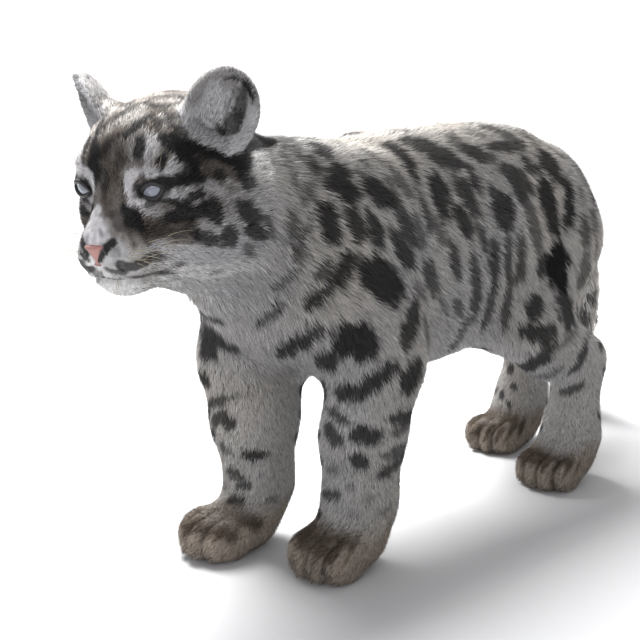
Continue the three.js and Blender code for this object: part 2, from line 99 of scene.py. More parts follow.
# Body frame, millimetres
HEAD_AT = Vector((4, -428, 432))
HEAD_TURN = radians(16)
HEAD_NOD = radians(14)
EYE_OUT, EYE_FORWARD, EYE_UP, EYE_RADIUS = 37, 52, 10, 15
SIDE_SIGN = {"left": 1, "right": -1}
head_to_body = Matrix.Translation(HEAD_AT) @ Matrix.Rotation(HEAD_TURN, 4, "Z")
head_to_body = head_to_body @ Matrix.Rotation(HEAD_NOD, 4, "X")
body_to_head = head_to_body.inverted()


def eye_centre(side):
    low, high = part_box(f"eye_{side}")
    return (low + high) / 2


# Where the body frame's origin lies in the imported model, from the eyes
eyes_packed = (eye_centre("left") + eye_centre("right")) / 2
eyes_body = head_to_body @ Vector((0, -EYE_FORWARD, EYE_UP))
ORIGIN = eyes_packed - eyes_body / 1000


def placed(point):
    """A body point in millimetres, in the model's metres."""
    return Vector(point) / 1000 + ORIGIN


def to_body(points):
    return (points - np.array(ORIGIN)) * 1000


def from_body(points):
    return points / 1000 + np.array(ORIGIN)


def moved(points, matrix):
    whole = np.array(matrix)
    return points @ whole[:3, :3].T + whole[:3, 3]


# Camera at the photograph's viewing angle. Pixels are those of a view of 640 x 640.
AZIMUTH = radians(44.1)
ELEVATION = radians(10.6)
DISTANCE = 1273
LOOK_AT = Vector((0, -200, 262))
VIEW_PIXELS = 640
VIEW_MIDDLE = VIEW_PIXELS / 2
FOCAL_PIXELS = 1118
SENSOR_WIDTH = 36
camera = bpy.data.objects.new("camera", bpy.data.cameras.new("camera"))
bpy.context.scene.collection.objects.link(camera)
view_back = Vector((sin(AZIMUTH) * cos(ELEVATION), -cos(AZIMUTH) * cos(ELEVATION), sin(ELEVATION)))
EYE_POINT = LOOK_AT + view_back * DISTANCE
camera.location = placed(EYE_POINT)
camera.rotation_mode = "QUATERNION"
camera.rotation_quaternion = (-view_back).to_track_quat("-Z", "Y")
camera.data.lens = FOCAL_PIXELS / VIEW_PIXELS * SENSOR_WIDTH
camera.data.clip_start = 0.05
camera.data.clip_end = 60
bpy.context.scene.camera = camera
VIEW_RIGHT = np.array((cos(AZIMUTH), sin(AZIMUTH), 0))
VIEW_BACK = np.array(view_back)
VIEW_UP = np.cross(VIEW_BACK, VIEW_RIGHT)


def view_depth(point):
    """How far a body point lies in front of the camera."""
    return -((point - np.array(EYE_POINT)) @ VIEW_BACK)


def view_ray(x, y):
    """The way from the camera through the view's pixel x, y, at a depth of 1."""
    right = VIEW_RIGHT * (x - VIEW_MIDDLE) / FOCAL_PIXELS
    up = VIEW_UP * (VIEW_MIDDLE - y) / FOCAL_PIXELS
    return -VIEW_BACK + right + up


def smooth_step(low, high, value):
    t = np.clip((value - low) / (high - low), 0, 1)
    return t * t * (3 - 2 * t)


# Skin
KEPT_APART = ("eye_", "claw_", "nose_pad")
FLESH = sorted(n for n in nodes if not n.startswith(KEPT_APART))


def deselect():
    if bpy.context.object and bpy.context.object.mode != "OBJECT":
        bpy.ops.object.mode_set(mode="OBJECT")
    bpy.ops.object.select_all(action="DESELECT")


def only(obj):
    deselect()
    obj.select_set(True)
    bpy.context.view_layer.objects.active = obj


def copy_of(names, title):
    """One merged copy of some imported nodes."""
    deselect()
    for name in names:
        twin = nodes[name].copy()
        twin.data = nodes[name].data.copy()
        twin.parent = None
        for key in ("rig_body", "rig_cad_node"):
            if key in twin:
                del twin[key]
        bpy.context.scene.collection.objects.link(twin)
        twin.select_set(True)
        bpy.context.view_layer.objects.active = twin
    bpy.ops.object.join()
    joined = bpy.context.object
    joined.name = title
    joined.data.name = title
    bpy.ops.object.mode_set(mode="EDIT")
    bpy.ops.mesh.select_all(action="SELECT")
    bpy.ops.mesh.remove_doubles(threshold=1e-6)
    bpy.ops.object.mode_set(mode="OBJECT")
    joined.data.materials.clear()
    return joined


def coords(mesh):
    out = np.empty(len(mesh.vertices) * 3)
    mesh.vertices.foreach_get("co", out)
    return out.reshape(-1, 3)


def set_coords(mesh, points):
    mesh.vertices.foreach_set("co", points.ravel())
    mesh.update()


def triangles(mesh):
    mesh.calc_loop_triangles()
    out = np.empty(len(mesh.loop_triangles) * 3, np.int32)
    mesh.loop_triangles.foreach_get("vertices", out)
    return out.reshape(-1, 3)


def edges_of(mesh):
    out = np.empty(len(mesh.edges) * 2, np.int32)
    mesh.edges.foreach_get("vertices", out)
    return out.reshape(-1, 2)


def averaged(values, edges, passes, amount=1.0):
    """Values at the vertices, each pass moved towards their neighbours' mean."""
    count = len(values)
    a, b = edges[:, 0], edges[:, 1]
    degree = np.maximum(1, np.bincount(a, minlength=count) + np.bincount(b, minlength=count))
    flat = values.reshape(count, -1).astype(float)
    share = amount if np.isscalar(amount) else np.asarray(amount)[:, None]
    for _ in range(passes):
        mean = np.empty_like(flat)
        for i in range(flat.shape[1]):
            column = flat[:, i]
            total = np.bincount(a, column[b], count) + np.bincount(b, column[a], count)
            mean[:, i] = total / degree
        flat = flat + (mean - flat) * share
    return flat.reshape(values.shape)


def corner_normals(points, faces):
    across = points[faces[:, 1]] - points[faces[:, 0]]
    along = points[faces[:, 2]] - points[faces[:, 0]]
    normal = np.cross(across, along)
    out = np.zeros_like(points)
    for i in range(3):
        for k in range(3):
            out[:, k] += np.bincount(faces[:, i], normal[:, k], len(points))
    return unit(out)


def unit(vectors):
    return vectors / np.maximum(1e-9, np.linalg.norm(vectors, axis=1))[:, None]


def remeshed(piece, voxel):
    """Gives a piece one even surface, its facets a voxel across."""
    only(piece)
    remesh = piece.modifiers.new("one surface", "REMESH")
    remesh.mode = "VOXEL"
    remesh.voxel_size = voxel
    remesh.use_smooth_shade = True
    bpy.ops.object.modifier_apply(modifier=remesh.name)


def keep_outer_shell(mesh):
    """Deletes every shell of a mesh but the largest."""
    left = set(mesh.verts)
    shells = []
    while left:
        start = left.pop()
        shell = [start]
        front = [start]
        while front:
            vert = front.pop()
            for edge in vert.link_edges:
                other = edge.other_vert(vert)
                if other in left:
                    left.discard(other)
                    shell.append(other)
                    front.append(other)
        shells.append(shell)
    shells.sort(key=len)
    inner = [vert for shell in shells[:-1] for vert in shell]
    bmesh.ops.delete(mesh, geom=inner, context="VERTS")


def head_local(points):
    return moved(points, body_to_head)


# The face's end towards the neck, its half width and its top, in head millimetres
FACE_END, FACE_HALF, FACE_TOP = -30, 72, 62


def face_zone(points):
    """Whether points lie on the face, where the mesh is made finer."""
    local = head_local(points)
    return (local[:, 1] < FACE_END) & (np.abs(local[:, 0]) < FACE_HALF) & (local[:, 2] < FACE_TOP)


def claw_middle(name):
    low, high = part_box(name)
    return to_body(np.array(low + high) / 2)


def claw_points(limb):
    """The middles of one foot's claws, in body millimetres."""
    return np.array([claw_middle(f"claw_{limb}_{i}") for i in (1, 2, 3, 4)])


FEET = {limb: claw_points(limb) for limb in ("fore_left", "fore_right", "hind_left", "hind_right")}
# How far the toes reach before and behind the claws' mean, to each side of it, and above the ground
TOE_AHEAD, TOE_BEHIND, TOE_SIDE, TOE_TOP = 30, 52, 60, 60


def toe_zone(points):
    """Whether points lie on the toes, where the mesh is made finer too."""
    inside = np.zeros(len(points), bool)
    for claws in FEET.values():
        back = points[:, 1] - claws[:, 1].mean()
        off = np.abs(points[:, 0] - claws[:, 0].mean())
        inside |= (back > -TOE_AHEAD) & (back < TOE_BEHIND) & (off < TOE_SIDE) & (points[:, 2] < TOE_TOP)
    return inside


SKIN_VOXEL = 0.0046
skin = copy_of(FLESH + ["eye_left", "eye_right"], "skin")
remeshed(skin, SKIN_VOXEL)
mesh = bmesh.new()
mesh.from_mesh(skin.data)
keep_outer_shell(mesh)
mesh.verts.ensure_lookup_table()
here = to_body(np.array([v.co[:] for v in mesh.verts]))
fine = face_zone(here) | toe_zone(here)
picked = [e for e in mesh.edges if fine[e.verts[0].index] and fine[e.verts[1].index]]
bmesh.ops.subdivide_edges(mesh, edges=picked, cuts=1, use_grid_fill=True)
bmesh.ops.triangulate(mesh, faces=[f for f in mesh.faces if len(f.verts) > 4])
mesh.to_mesh(skin.data)
mesh.free()


def packed_flesh():
    """Every packed flesh node's points and triangles in body millimetres, with each triangle's node."""
    points, faces, owner = [], [], []
    start = 0
    for index, name in enumerate(FLESH):
        here = to_body(coords(nodes[name].data))
        corners = triangles(nodes[name].data)
        points.append(here)
        faces.append(corners + start)
        owner.append(np.full(len(corners), index))
        start += len(here)
    return np.concatenate(points), np.concatenate(faces), np.concatenate(owner)


cad_points, cad_faces, cad_owner = packed_flesh()
cad_tree = BVHTree.FromPolygons(cad_points.tolist(), cad_faces.tolist())

# Each region of the coat: how deep the skin lies under the tips, and its hair in millimetres
COAT = {
    "head": dict(depth=2.2, length=6.5, width=0.95, share=1.6, lift=14, soften=0.45),
    "ear": dict(depth=1.2, length=5.5, width=0.9, share=1.5, lift=14, soften=0.3),
    "neck": dict(depth=5.0, length=13.5, width=1.15, share=3.0, lift=16, soften=1),
    "chest": dict(depth=5.0, length=13, width=1.2, share=3.2, lift=15, soften=1),
    "belly": dict(depth=5.0, length=14, width=1.3, share=3.7, lift=15, soften=1),
    "rump": dict(depth=5.0, length=13, width=1.2, share=3.5, lift=15, soften=1),
    "upper_foreleg": dict(depth=4.2, length=11, width=1.1, share=3.0, lift=15, soften=1),
    "thigh": dict(depth=4.6, length=12, width=1.15, share=3.2, lift=15, soften=1),
    "forearm": dict(depth=2.6, length=8, width=1.05, share=2.6, lift=15, soften=0.9),
    "shank": dict(depth=2.8, length=9, width=1.1, share=2.8, lift=15, soften=0.9),
    "cannon": dict(depth=2.4, length=8, width=1.05, share=2.6, lift=15, soften=0.9),
    "forepaw": dict(depth=2.3, length=6.5, width=1.0, share=2.2, lift=20, soften=0.4),
    "hindpaw": dict(depth=2.3, length=6.5, width=1.0, share=2.2, lift=20, soften=0.4),
    "tail": dict(depth=7.0, length=21, width=1.9, share=7.5, lift=17, soften=1),
}
REGIONS = list(COAT)


def region_of(name):
    return REGIONS.index(next(r for r in REGIONS if name.startswith(r)))


node_region = np.array([region_of(name) for name in FLESH])
points = to_body(coords(skin.data))
faces = triangles(skin.data)
edges = edges_of(skin.data)
nearest = [cad_tree.find_nearest(Vector(p))[2] for p in points]
region = node_region[cad_owner[np.array(nearest)]]


def spread(key, passes=24):
    table = np.array([COAT[r][key] for r in REGIONS], float)
    return averaged(table[region], edges, passes)


fine = face_zone(points)
soften = spread("soften", 12)
soften[fine] *= 0.5
for _ in range(14):
    points = averaged(points, edges, 2, 0.62 * soften)
    points = averaged(points, edges, 2, -0.60 * soften)
points = averaged(points, edges, 5, 0.5 * soften)
depth = spread("depth")
normals = corner_normals(points, faces)
points = points - normals * depth[:, None]

# The far ear leans further out towards its tip
FAR_EAR_LEAN = 17
EAR_FOOT, EAR_SPAN = 42, 60
leaning = head_local(points)
high = np.clip((leaning[:, 2] - EAR_FOOT) / EAR_SPAN, 0, 1.2)
high = high * (leaning[:, 0] < 0) * (region == REGIONS.index("ear"))
leaning[:, 0] -= FAR_EAR_LEAN * high ** 1.3
points = moved(leaning, head_to_body)

# Clefts between the toes, and each toe rounder
CLEFT_DEPTH, CLEFT_HALF = 4.2, 2.8
TOE_SWELL, TOE_HALF = 1.6, 6.0
FOOT_REACH = 85
for claws in FEET.values():
    claws = claws[np.argsort(claws[:, 0])]
    off = np.linalg.norm(points[:, :2] - claws[:, :2].mean(0), axis=1)
    near = np.flatnonzero(toe_zone(points) & (off < FOOT_REACH))
    here = points[near]
    back = here[:, 1] - np.interp(here[:, 0], claws[:, 0], claws[:, 1])
    strength = smooth_step(46, 20, back) * smooth_step(58, 44, here[:, 2])
    push = np.zeros(len(near))
    for left_claw, right_claw in zip(claws, claws[1:]):
        middle = (left_claw[0] + right_claw[0]) / 2
        push += CLEFT_DEPTH * np.exp(-((here[:, 0] - middle) / CLEFT_HALF) ** 2)
    for claw in claws:
        push -= TOE_SWELL * np.exp(-((here[:, 0] - claw[0]) / TOE_HALF) ** 2)
    points[near] -= normals[near] * (push * strength)[:, None]

# Eyes: the skin opens round each ball in an almond, its inner corner low
LID = dict(half=11.2, upper=7.0, lower=7.2, slant=radians(14), outward=radians(24), inward=2.2)
LID_THICK = 2.0
BALL_CLEARANCE = 2.5


def eye_frame(side):
    """Turns a head point to the eye's own axes: along the lids, outwards through the pupil, up."""
    s = SIDE_SIGN[side]
    turn = Matrix.Rotation(s * LID["outward"], 4, "Z")
    centre = Matrix.Translation((s * EYE_OUT, -EYE_FORWARD, EYE_UP))
    return centre @ turn @ Matrix.Rotation(-s * LID["slant"], 4, "Y")


def in_almond(out, up, grow=0.0):
    """Whether points on the ball, so far outwards and up from its middle, lie in the lids' opening."""
    across = out + LID["inward"]
    half = LID["half"] + grow
    tall = np.where(up > 0, LID["upper"], LID["lower"]) + grow
    bow = tall * (1 - np.minimum(1, np.abs(across) / half) ** 2)
    return (np.abs(across) < half) & (np.abs(up) < bow)


for side in ("left", "right"):
    to_world = head_to_body @ eye_frame(side)
    local = moved(points, to_world.inverted())
    reach = np.linalg.norm(local, axis=1)
    near = (reach < EYE_RADIUS + 9) & (local[:, 1] < 4)
    ahead = unit(local) * EYE_RADIUS
    open_eye = near & in_almond(ahead[:, 0] * SIDE_SIGN[side], ahead[:, 2]) & (local[:, 1] < 0)
    wanted = np.where(open_eye, EYE_RADIUS - BALL_CLEARANCE, np.maximum(reach, EYE_RADIUS + LID_THICK))
    local = np.where(near[:, None], unit(local) * wanted[:, None], local)
    points = moved(local, to_world)
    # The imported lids' creases are smoothed away, and the skin is kept clear of the ball
    around = (reach < EYE_RADIUS + 11) & (local[:, 1] < 2) & ~open_eye
    for _ in range(5):
        points = averaged(points, edges, 4, 0.55 * around)
        local = moved(points, to_world.inverted())
        reach = np.linalg.norm(local, axis=1)
        lifted = unit(local) * np.maximum(reach, EYE_RADIUS + LID_THICK)[:, None]
        points = moved(np.where(around[:, None], lifted, local), to_world)

normals = corner_normals(points, faces)
skin_tree = BVHTree.FromPolygons(points.tolist(), faces.tolist())


def seen(x, y):
    """The body point that the view's pixel x, y falls on, and its normal."""
    hit, normal, _, _ = skin_tree.ray_cast(EYE_POINT, Vector(view_ray(x, y)))
    return (np.array(hit), np.array(normal)) if hit else (None, None)


def line_distance(points, line):
    best = np.full(len(points), 1e9)
    for a, b in zip(line, line[1:]):
        along = b - a
        t = np.clip(((points - a) @ along) / max(1e-9, along @ along), 0, 1)
        best = np.minimum(best, np.linalg.norm(points - a - t[:, None] * along, axis=1))
    return best


def flipped(point):
    """The same place on the head's other side."""
    local = np.array(body_to_head @ Vector(point))
    local[0] *= -1
    return np.array(head_to_body @ Vector(local))


# The line between the lips, on the near side, and its twin
MOUTH_PIXELS = [
    (99, 279), (106, 280), (118, 281), (130, 281), (141, 280), (150, 277), (160, 272), (170, 269),
    (181, 267),
]
mouth_near = [p for p in (seen(*at)[0] for at in MOUTH_PIXELS) if p is not None]
mouth_line = [flipped(p) for p in reversed(mouth_near)] + mouth_near
reach = line_distance(points, mouth_line)
FOLD_DEPTH, FOLD_HALF = 3.2, 1.7
LIP_SWELL, LIP_OFF, LIP_HALF = 0.9, 4.5, 2.4
fold = FOLD_DEPTH * np.exp(-(reach / FOLD_HALF) ** 2)
fold = fold - LIP_SWELL * np.exp(-((reach - LIP_OFF) / LIP_HALF) ** 2)
# The furrow from the nose down to the lips, in head millimetres
FURROW_DEPTH, FURROW_HALF, FURROW_TOP, FURROW_FOOT, FURROW_FRONT = 2.2, 1.5, -46, -68, -95
local = head_local(points)
within = (local[:, 2] < FURROW_TOP) & (local[:, 2] > FURROW_FOOT) & (local[:, 1] < FURROW_FRONT)
furrow = np.exp(-(local[:, 0] / FURROW_HALF) ** 2) * within * FURROW_DEPTH
points = points - normals * ((fold + furrow) * fine)[:, None]
set_coords(skin.data, from_body(points))
normals = corner_normals(points, faces)

# Nose leather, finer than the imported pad, with a comma of a nostril on each side
NOSE_VOXEL = 0.0009
NOSTRIL_DEPTH, NOSTRIL_HALF = 2.6, 3.6
nose = copy_of(["nose_pad"], "nose_leather")
remeshed(nose, NOSE_VOXEL)
nose_edges = edges_of(nose.data)
nose_faces = triangles(nose.data)
nose_points = to_body(coords(nose.data))
for _ in range(8):
    nose_points = averaged(nose_points, nose_edges, 2, 0.6)
    nose_points = averaged(nose_points, nose_edges, 2, -0.58)
nose_normals = corner_normals(nose_points, nose_faces)
nose_points = nose_points + nose_normals * 0.5
NOSTRIL = [(5.5, -18), (7.5, -13), (10, -8.5), (13, -5), (15.5, -1)]
nose_local = head_local(nose_points)
nose_low, nose_high = nose_local.min(0), nose_local.max(0)
nostril_level = np.zeros(len(nose_points))
for s in (-1, 1):
    line = [np.array((s * x, 0, nose_high[2] + z)) for x, z in NOSTRIL]
    flat = nose_local * np.array((1, 0, 1))
    gap = line_distance(flat, line)
    ahead = smooth_step(nose_low[1] + 9, nose_low[1] + 5, nose_local[:, 1])
    nostril_level = np.maximum(nostril_level, np.exp(-(gap / NOSTRIL_HALF) ** 2) * ahead)
nose_points = nose_points - nose_normals * nostril_level[:, None] * NOSTRIL_DEPTH
set_coords(nose.data, from_body(nose_points))
NOSE_PINK = np.array((0.40, 0.195, 0.17))
NOSE_DARK = np.array((0.018, 0.015, 0.015))
edge = smooth_step(nose_high[2] - 2, nose_high[2] + 1, nose_local[:, 2]) * 0.4
below = smooth_step(nose_low[2] + 5, nose_low[2], nose_local[:, 2]) * 0.6
wing = smooth_step(8.5, 11, np.abs(nose_local[:, 0])) * smooth_step(-3, -6, nose_local[:, 2] - nose_high[2])
pit = smooth_step(0.25, 0.8, nostril_level)
nose_shade = np.clip(np.maximum.reduce([edge, wing, below, pit]), 0, 1)
nose_colour = NOSE_PINK + (NOSE_DARK - NOSE_PINK) * nose_shade[:, None]

# Unwrap of the skin's own shape
only(skin)
bpy.ops.object.mode_set(mode="EDIT")
bpy.ops.mesh.select_all(action="SELECT")
bpy.ops.uv.smart_project(angle_limit=radians(75), island_margin=0.002)
bpy.ops.object.mode_set(mode="OBJECT")
skin.data.uv_layers[0].name = "OFBake"

# Markings: read in the view's pixels, then held by the skin itself.
# Each is x, y, half length, half width, tilt in degrees and strength.
DARK_SPOTS = [
    # back and rump
    (427, 126, 10, 3, 5, .5), (468, 133, 9, 4, 25, .45), (495, 132, 20, 6, 15, .7),
    (523, 136, 12, 3, 30, .5), (503, 145, 18, 5, -8, .8), (428, 150, 26, 9, 22, .85),
    (468, 151, 14, 7, 15, .85), (450, 141, 7, 5, 60, .6), (485, 156, 6, 5, 30, .75),
    (399, 157, 18, 7, 50, .9), (500, 166, 7, 6, 40, .8), (515, 181, 15, 11, 50, .85),
    (524, 163, 10, 5, 50, .85), (546, 163, 17, 9, 55, .9), (575, 168, 16, 4, 55, .6),
    (436, 192, 22, 9, 75, .9), (463, 192, 20, 8, 58, .85), (469, 176, 16, 5, 62, .85),
    (490, 190, 8, 6, 40, .8), (500, 208, 17, 13, 80, .9), (421, 207, 24, 4, 72, .8),
    (405, 225, 18, 6, 68, .85), (416, 228, 16, 4, 70, .7), (434, 226, 14, 4, 62, .65),
    (460, 218, 17, 7, 55, .9), (479, 235, 13, 4, 65, .8), (491, 258, 17, 6, 88, .85),
    (506, 258, 18, 5, 83, .8), (519, 256, 20, 6, 85, .8), (451, 256, 18, 5, 78, .8),
    (428, 274, 15, 6, 75, .8), (473, 287, 28, 5, 84, .8), (402, 251, 13, 7, 60, .9),
    (416, 287, 9, 4, 60, .6), (487, 305, 22, 5, 100, .8), (505, 300, 20, 5, 97, .8),
    (531, 222, 22, 6, 72, .7), (545, 200, 28, 9, 72, .95), (566, 202, 22, 7, 92, .95),
    (578, 192, 8, 3, 80, .5), (583, 228, 14, 6, 85, .75), (591, 217, 14, 4, 82, .65),
    (595, 246, 8, 3, 90, .6), (555, 264, 22, 13, 88, 1), (540, 262, 14, 5, 100, .9),
    (583, 257, 8, 4, 120, .65), (583, 272, 12, 6, 120, .7), (590, 291, 6, 4, 75, .7),
    (532, 304, 11, 8, 110, .9), (565, 308, 15, 10, 70, .9), (582, 316, 14, 5, 85, .75),
    (538, 330, 20, 8, 0, .9), (521, 364, 19, 7, 8, .9), (566, 336, 14, 3, -38, .6),
    (581, 356, 15, 5, 115, .85), (541, 375, 12, 3, -10, .5), (572, 388, 13, 4, -30, .75),
    (490, 347, 10, 5, -20, .9), (455, 305, 8, 4, 75, .7), (457, 334, 14, 3, 115, .7),
    (425, 330, 14, 3, 80, .55), (440, 300, 10, 3, 60, .45), (384, 150, 14, 3, 35, .4),
    # neck, shoulder and flank
    (276, 141, 9, 3, 60, .65), (289, 147, 11, 3, 60, .65), (315, 150, 11, 6, 35, .85),
    (308, 165, 9, 5, 60, .8), (325, 142, 12, 2.5, 35, .5), (283, 163, 12, 2, 70, .55),
    (290, 178, 9, 2.5, 75, .65), (305, 188, 12, 3, 95, .65), (299, 196, 10, 3, 90, .6),
    (332, 176, 13, 12, 60, .92), (343, 190, 12, 9, 20, .92), (325, 182, 8, 6, 40, .85),
    (358, 162, 9, 3, 35, .65), (362, 152, 14, 3, 20, .55), (366, 130, 8, 4, 0, .4),
    (395, 132, 10, 5, 0, .45), (375, 190, 18, 10, 38, .92), (385, 181, 8, 3, 55, .65),
    (396, 179, 15, 5, 55, .65), (324, 219, 19, 10, 68, .92), (352, 222, 17, 8, 68, .9),
    (371, 226, 15, 8, 62, .9), (401, 218, 18, 6, 68, .8), (398, 244, 17, 7, 60, .85),
    (286, 223, 14, 5, 105, .75), (296, 240, 20, 4, 112, .8), (284, 274, 17, 3, 137, .75),
    (319, 264, 11, 5, 120, .8), (340, 268, 18, 9, 115, .92), (313, 293, 14, 7, 152, .9),
    (378, 277, 25, 14, 45, .95), (300, 254, 8, 3, 115, .6),
    # chest and near foreleg
    (292, 341, 20, 7, 147, .9), (312, 327, 9, 6, 140, .85), (353, 337, 23, 16, 22, .95),
    (325, 358, 10, 9, 80, .9), (408, 320, 19, 8, 105, .88), (350, 391, 14, 8, 8, .9),
    (374, 380, 18, 8, 145, .9), (387, 367, 9, 7, 120, .88), (412, 373, 15, 10, 110, .92),
    (337, 413, 15, 4, 35, .8), (410, 413, 12, 5, 155, .85), (403, 426, 11, 3, 150, .7),
    (332, 432, 11, 6, 60, .85), (367, 433, 14, 9, 15, .9), (405, 445, 12, 4, 145, .7),
    (357, 459, 11, 7, 35, .88), (393, 465, 13, 4, 150, .8), (331, 468, 5, 4, 0, .5),
    (329, 493, 7, 5, 0, .8), (403, 485, 9, 3, 110, .55), (350, 485, 5, 3, 30, .35),
    (372, 495, 6, 3, 150, .35), (352, 512, 8, 3, 10, .45), (385, 508, 8, 3, 160, .45),
    # far foreleg and breast
    (201, 306, 18, 3, 38, .85), (207, 334, 21, 4, 38, .85), (195, 346, 10, 2.5, 62, .8),
    (266, 311, 15, 4, 138, .75), (216, 401, 8, 4, -15, .85), (228, 421, 8, 6, 0, .9),
    (256, 453, 13, 5, -3, .9), (244, 483, 7, 4, 10, .8), (238, 498, 8, 4, 0, .8), (272, 497, 5, 3, 0, .5),
    (223, 444, 6, 3, 80, .7), (240, 392, 10, 3, 0, .35),
]

# The face's own marks by their tone, in the order in which they are laid
FACE_MARKS = [
    ("brown", [
        (215, 168, 30, 13, 12, .8), (165, 232, 34, 15, 8, .75), (112, 160, 14, 20, 0, .6),
        (225, 200, 24, 16, 20, .5), (115, 195, 14, 22, 0, .55), (150, 225, 14, 12, 0, .5),
    ]),
    ("pale", [
        (172, 169, 15, 8, -12, .9), (150, 150, 9, 14, 10, .8), (152, 172, 14, 6, -5, .8),
        (178, 195, 18, 6, -12, .85), (212, 190, 12, 6, 30, .7), (150, 212, 10, 6, 10, .5),
        (190, 256, 46, 11, 3, .9), (235, 250, 34, 13, -25, .8), (114, 252, 12, 13, 0, .8),
        (76, 210, 7, 22, 0, .6), (80, 172, 6, 10, 0, .6),
    ]),
    ("white", [
        (128, 292, 36, 11, 2, .9), (200, 272, 45, 8, -3, .8),
    ]),
    ("pale", [
        (255, 205, 16, 22, 40, .5),
    ]),
    # forehead
    ("dark", [
        (150, 107, 11, 4, 0, .85), (172, 94, 8, 3, 0, .5), (136, 128, 15, 4, -45, .9),
        (154, 124, 9, 4, 52, .85), (138, 151, 13, 5, 97, .92), (170, 147, 13, 8, 38, .97),
        (186, 158, 15, 8, 35, .95), (161, 163, 9, 5, 112, .95), (191, 171, 9, 8, 60, .92),
        (122, 138, 12, 4, -42, .7), (106, 150, 11, 5, -52, .75), (94, 166, 20, 8, 92, .95),
        (112, 122, 11, 5, -38, .7), (126, 113, 10, 3, -30, .65), (96, 140, 10, 3, -60, .5),
        (104, 178, 12, 6, 85, .7), (178, 115, 9, 5, -40, .6), (168, 125, 9, 5, 35, .7),
        (182, 132, 8, 4, 35, .6), (86, 192, 10, 6, 95, .8), (120, 160, 10, 5, 80, .55),
        (136, 106, 10, 3, -25, .75), (162, 98, 13, 2.5, -3, .65), (184, 100, 8, 3, 10, .6),
        (172, 106, 9, 3, -30, .7), (166, 117, 8, 3, 40, .7), (120, 104, 8, 3, -20, .5),
    ]),
    # from the near eye outwards, and the cheek
    ("dark", [
        (178, 181, 21, 6, -9, .97), (205, 153, 32, 5, 18, .95), (243, 148, 20, 14, -35, .97),
        (219, 177, 7, 6, 70, .85), (243, 181, 9, 7, 60, .85), (197, 196, 9, 5, -20, .92),
        (172, 203, 17, 4, 12, .9), (180, 216, 19, 7, -8, .92), (213, 213, 14, 8, 68, .92),
        (133, 220, 14, 8, 58, .97), (206, 240, 11, 7, 15, .88), (228, 235, 10, 8, 100, .88),
        (246, 214, 13, 8, 42, .88), (253, 232, 9, 6, -20, .85), (244, 250, 5, 5, 0, .6),
        (263, 222, 11, 5, 65, .7), (176, 265, 7, 3, -15, .65), (213, 272, 6, 2.5, -20, .5),
        (160, 232, 22, 7, 5, .45), (190, 232, 12, 5, 20, .6), (225, 160, 9, 4, 30, .6),
    ]),
    # round the far eye
    ("dark", [
        (78, 186, 9, 7, 60, .9), (76, 203, 6, 7, 20, .85), (77, 216, 4, 4, 0, .6),
    ]),
    # lips
    ("dark", [
        (136, 266, 16, 4.5, -14, .85), (117, 272, 12, 3, 8, .8), (152, 258, 8, 4, -20, .7),
        (150, 274, 14, 2, -20, .8), (108, 279, 12, 1.6, 5, .9), (118, 222, 6, 12, -20, .5),
        (110, 250, 8, 8, 0, .3), (95, 272, 8, 4, 35, .6),
    ]),
    # smooth pale patches
    ("patch", [
        (131, 176, 8, 5.5, -22, 1), (128, 186, 4.5, 9, 8, 1), (130, 196, 3, 7, 0, .9),
        (139, 203, 11, 4, -10, .95), (145, 172, 8, 3, -8, .7), (91, 232, 17, 13, -70, 1),
        (101, 232, 8, 11, -20, 1), (95, 213, 8, 6, -60, .9),
    ]),
    ("dark", [
        (142, 191, 8.5, 8, 0, .85), (155, 200, 13, 3, -24, .8), (168, 186, 8, 4, -40, .9),
        (108, 247, 10, 4.5, -50, .97), (101, 257, 8, 3.5, -45, .95), (83, 256, 7, 2, 45, .9),
    ]),
]
# The near ear's, held on the ear and its base, with twins on the other ear
EAR_MARKS = [
    ("pale", [
        (198, 122, 12, 9, 20, .95), (205, 138, 20, 8, 22, .95), (226, 147, 12, 6, 20, .9),
    ]),
    ("rim", [
        (190, 100, 10, 4, -62, .9), (200, 84, 10, 5, -48, .9), (213, 74, 10, 5.5, -26, .9),
        (228, 71, 11, 6, 2, .9), (243, 74, 10, 6, 28, .9), (254, 83, 10, 5, 58, .9),
        (257, 95, 8, 4, 82, .9), (258, 110, 10, 2, 85, .6),
    ]),
    ("dark", [
        (228, 79, 9, 1.6, 2, .7), (239, 81, 7, 2, 22, .95), (246, 87, 6, 3, 50, .97),
        (250, 95, 5, 2.5, 62, .97),
    ]),
    # painted shade along the ear's grooves, which are hollowed there too
    ("shaded_groove", [
        (240, 108, 18, 6.5, 102, .85), (233, 122, 12, 8, 105, .85), (231, 98, 9, 2, 112, .5),
        (204, 125, 9, 3.5, 30, .35), (226, 112, 10, 2, 110, .35),
    ]),
    ("dark", [
        (259, 122, 20, 2.5, 88, .97), (260, 140, 13, 8, 100, .97), (250, 147, 12, 6, -25, .97),
        (212, 156, 26, 5, 18, .9), (188, 148, 14, 5, 25, .85), (178, 132, 10, 4, 30, .6),
    ]),
]
TONES = {
    "face": (0.10, 0.083, 0.071),
    "rim": (0.31, 0.30, 0.295),
    # painted shade in the ear's grooves
    "shaded_groove": (0.045, 0.042, 0.04),
    "base": (0.50, 0.48, 0.455),
    "dark": (0.016, 0.0155, 0.016),
    "brown": (0.075, 0.056, 0.042),
    "pale": (0.54, 0.53, 0.54),
    "white": (0.72, 0.71, 0.70),
    "patch": (0.55, 0.535, 0.55),
    "paw": (0.40, 0.34, 0.285),
    "instep": (0.085, 0.062, 0.045),
}


# The most that a slanting surface lengthens a mark
BODY_STRETCH, HEAD_STRETCH = 1.5, 1.3


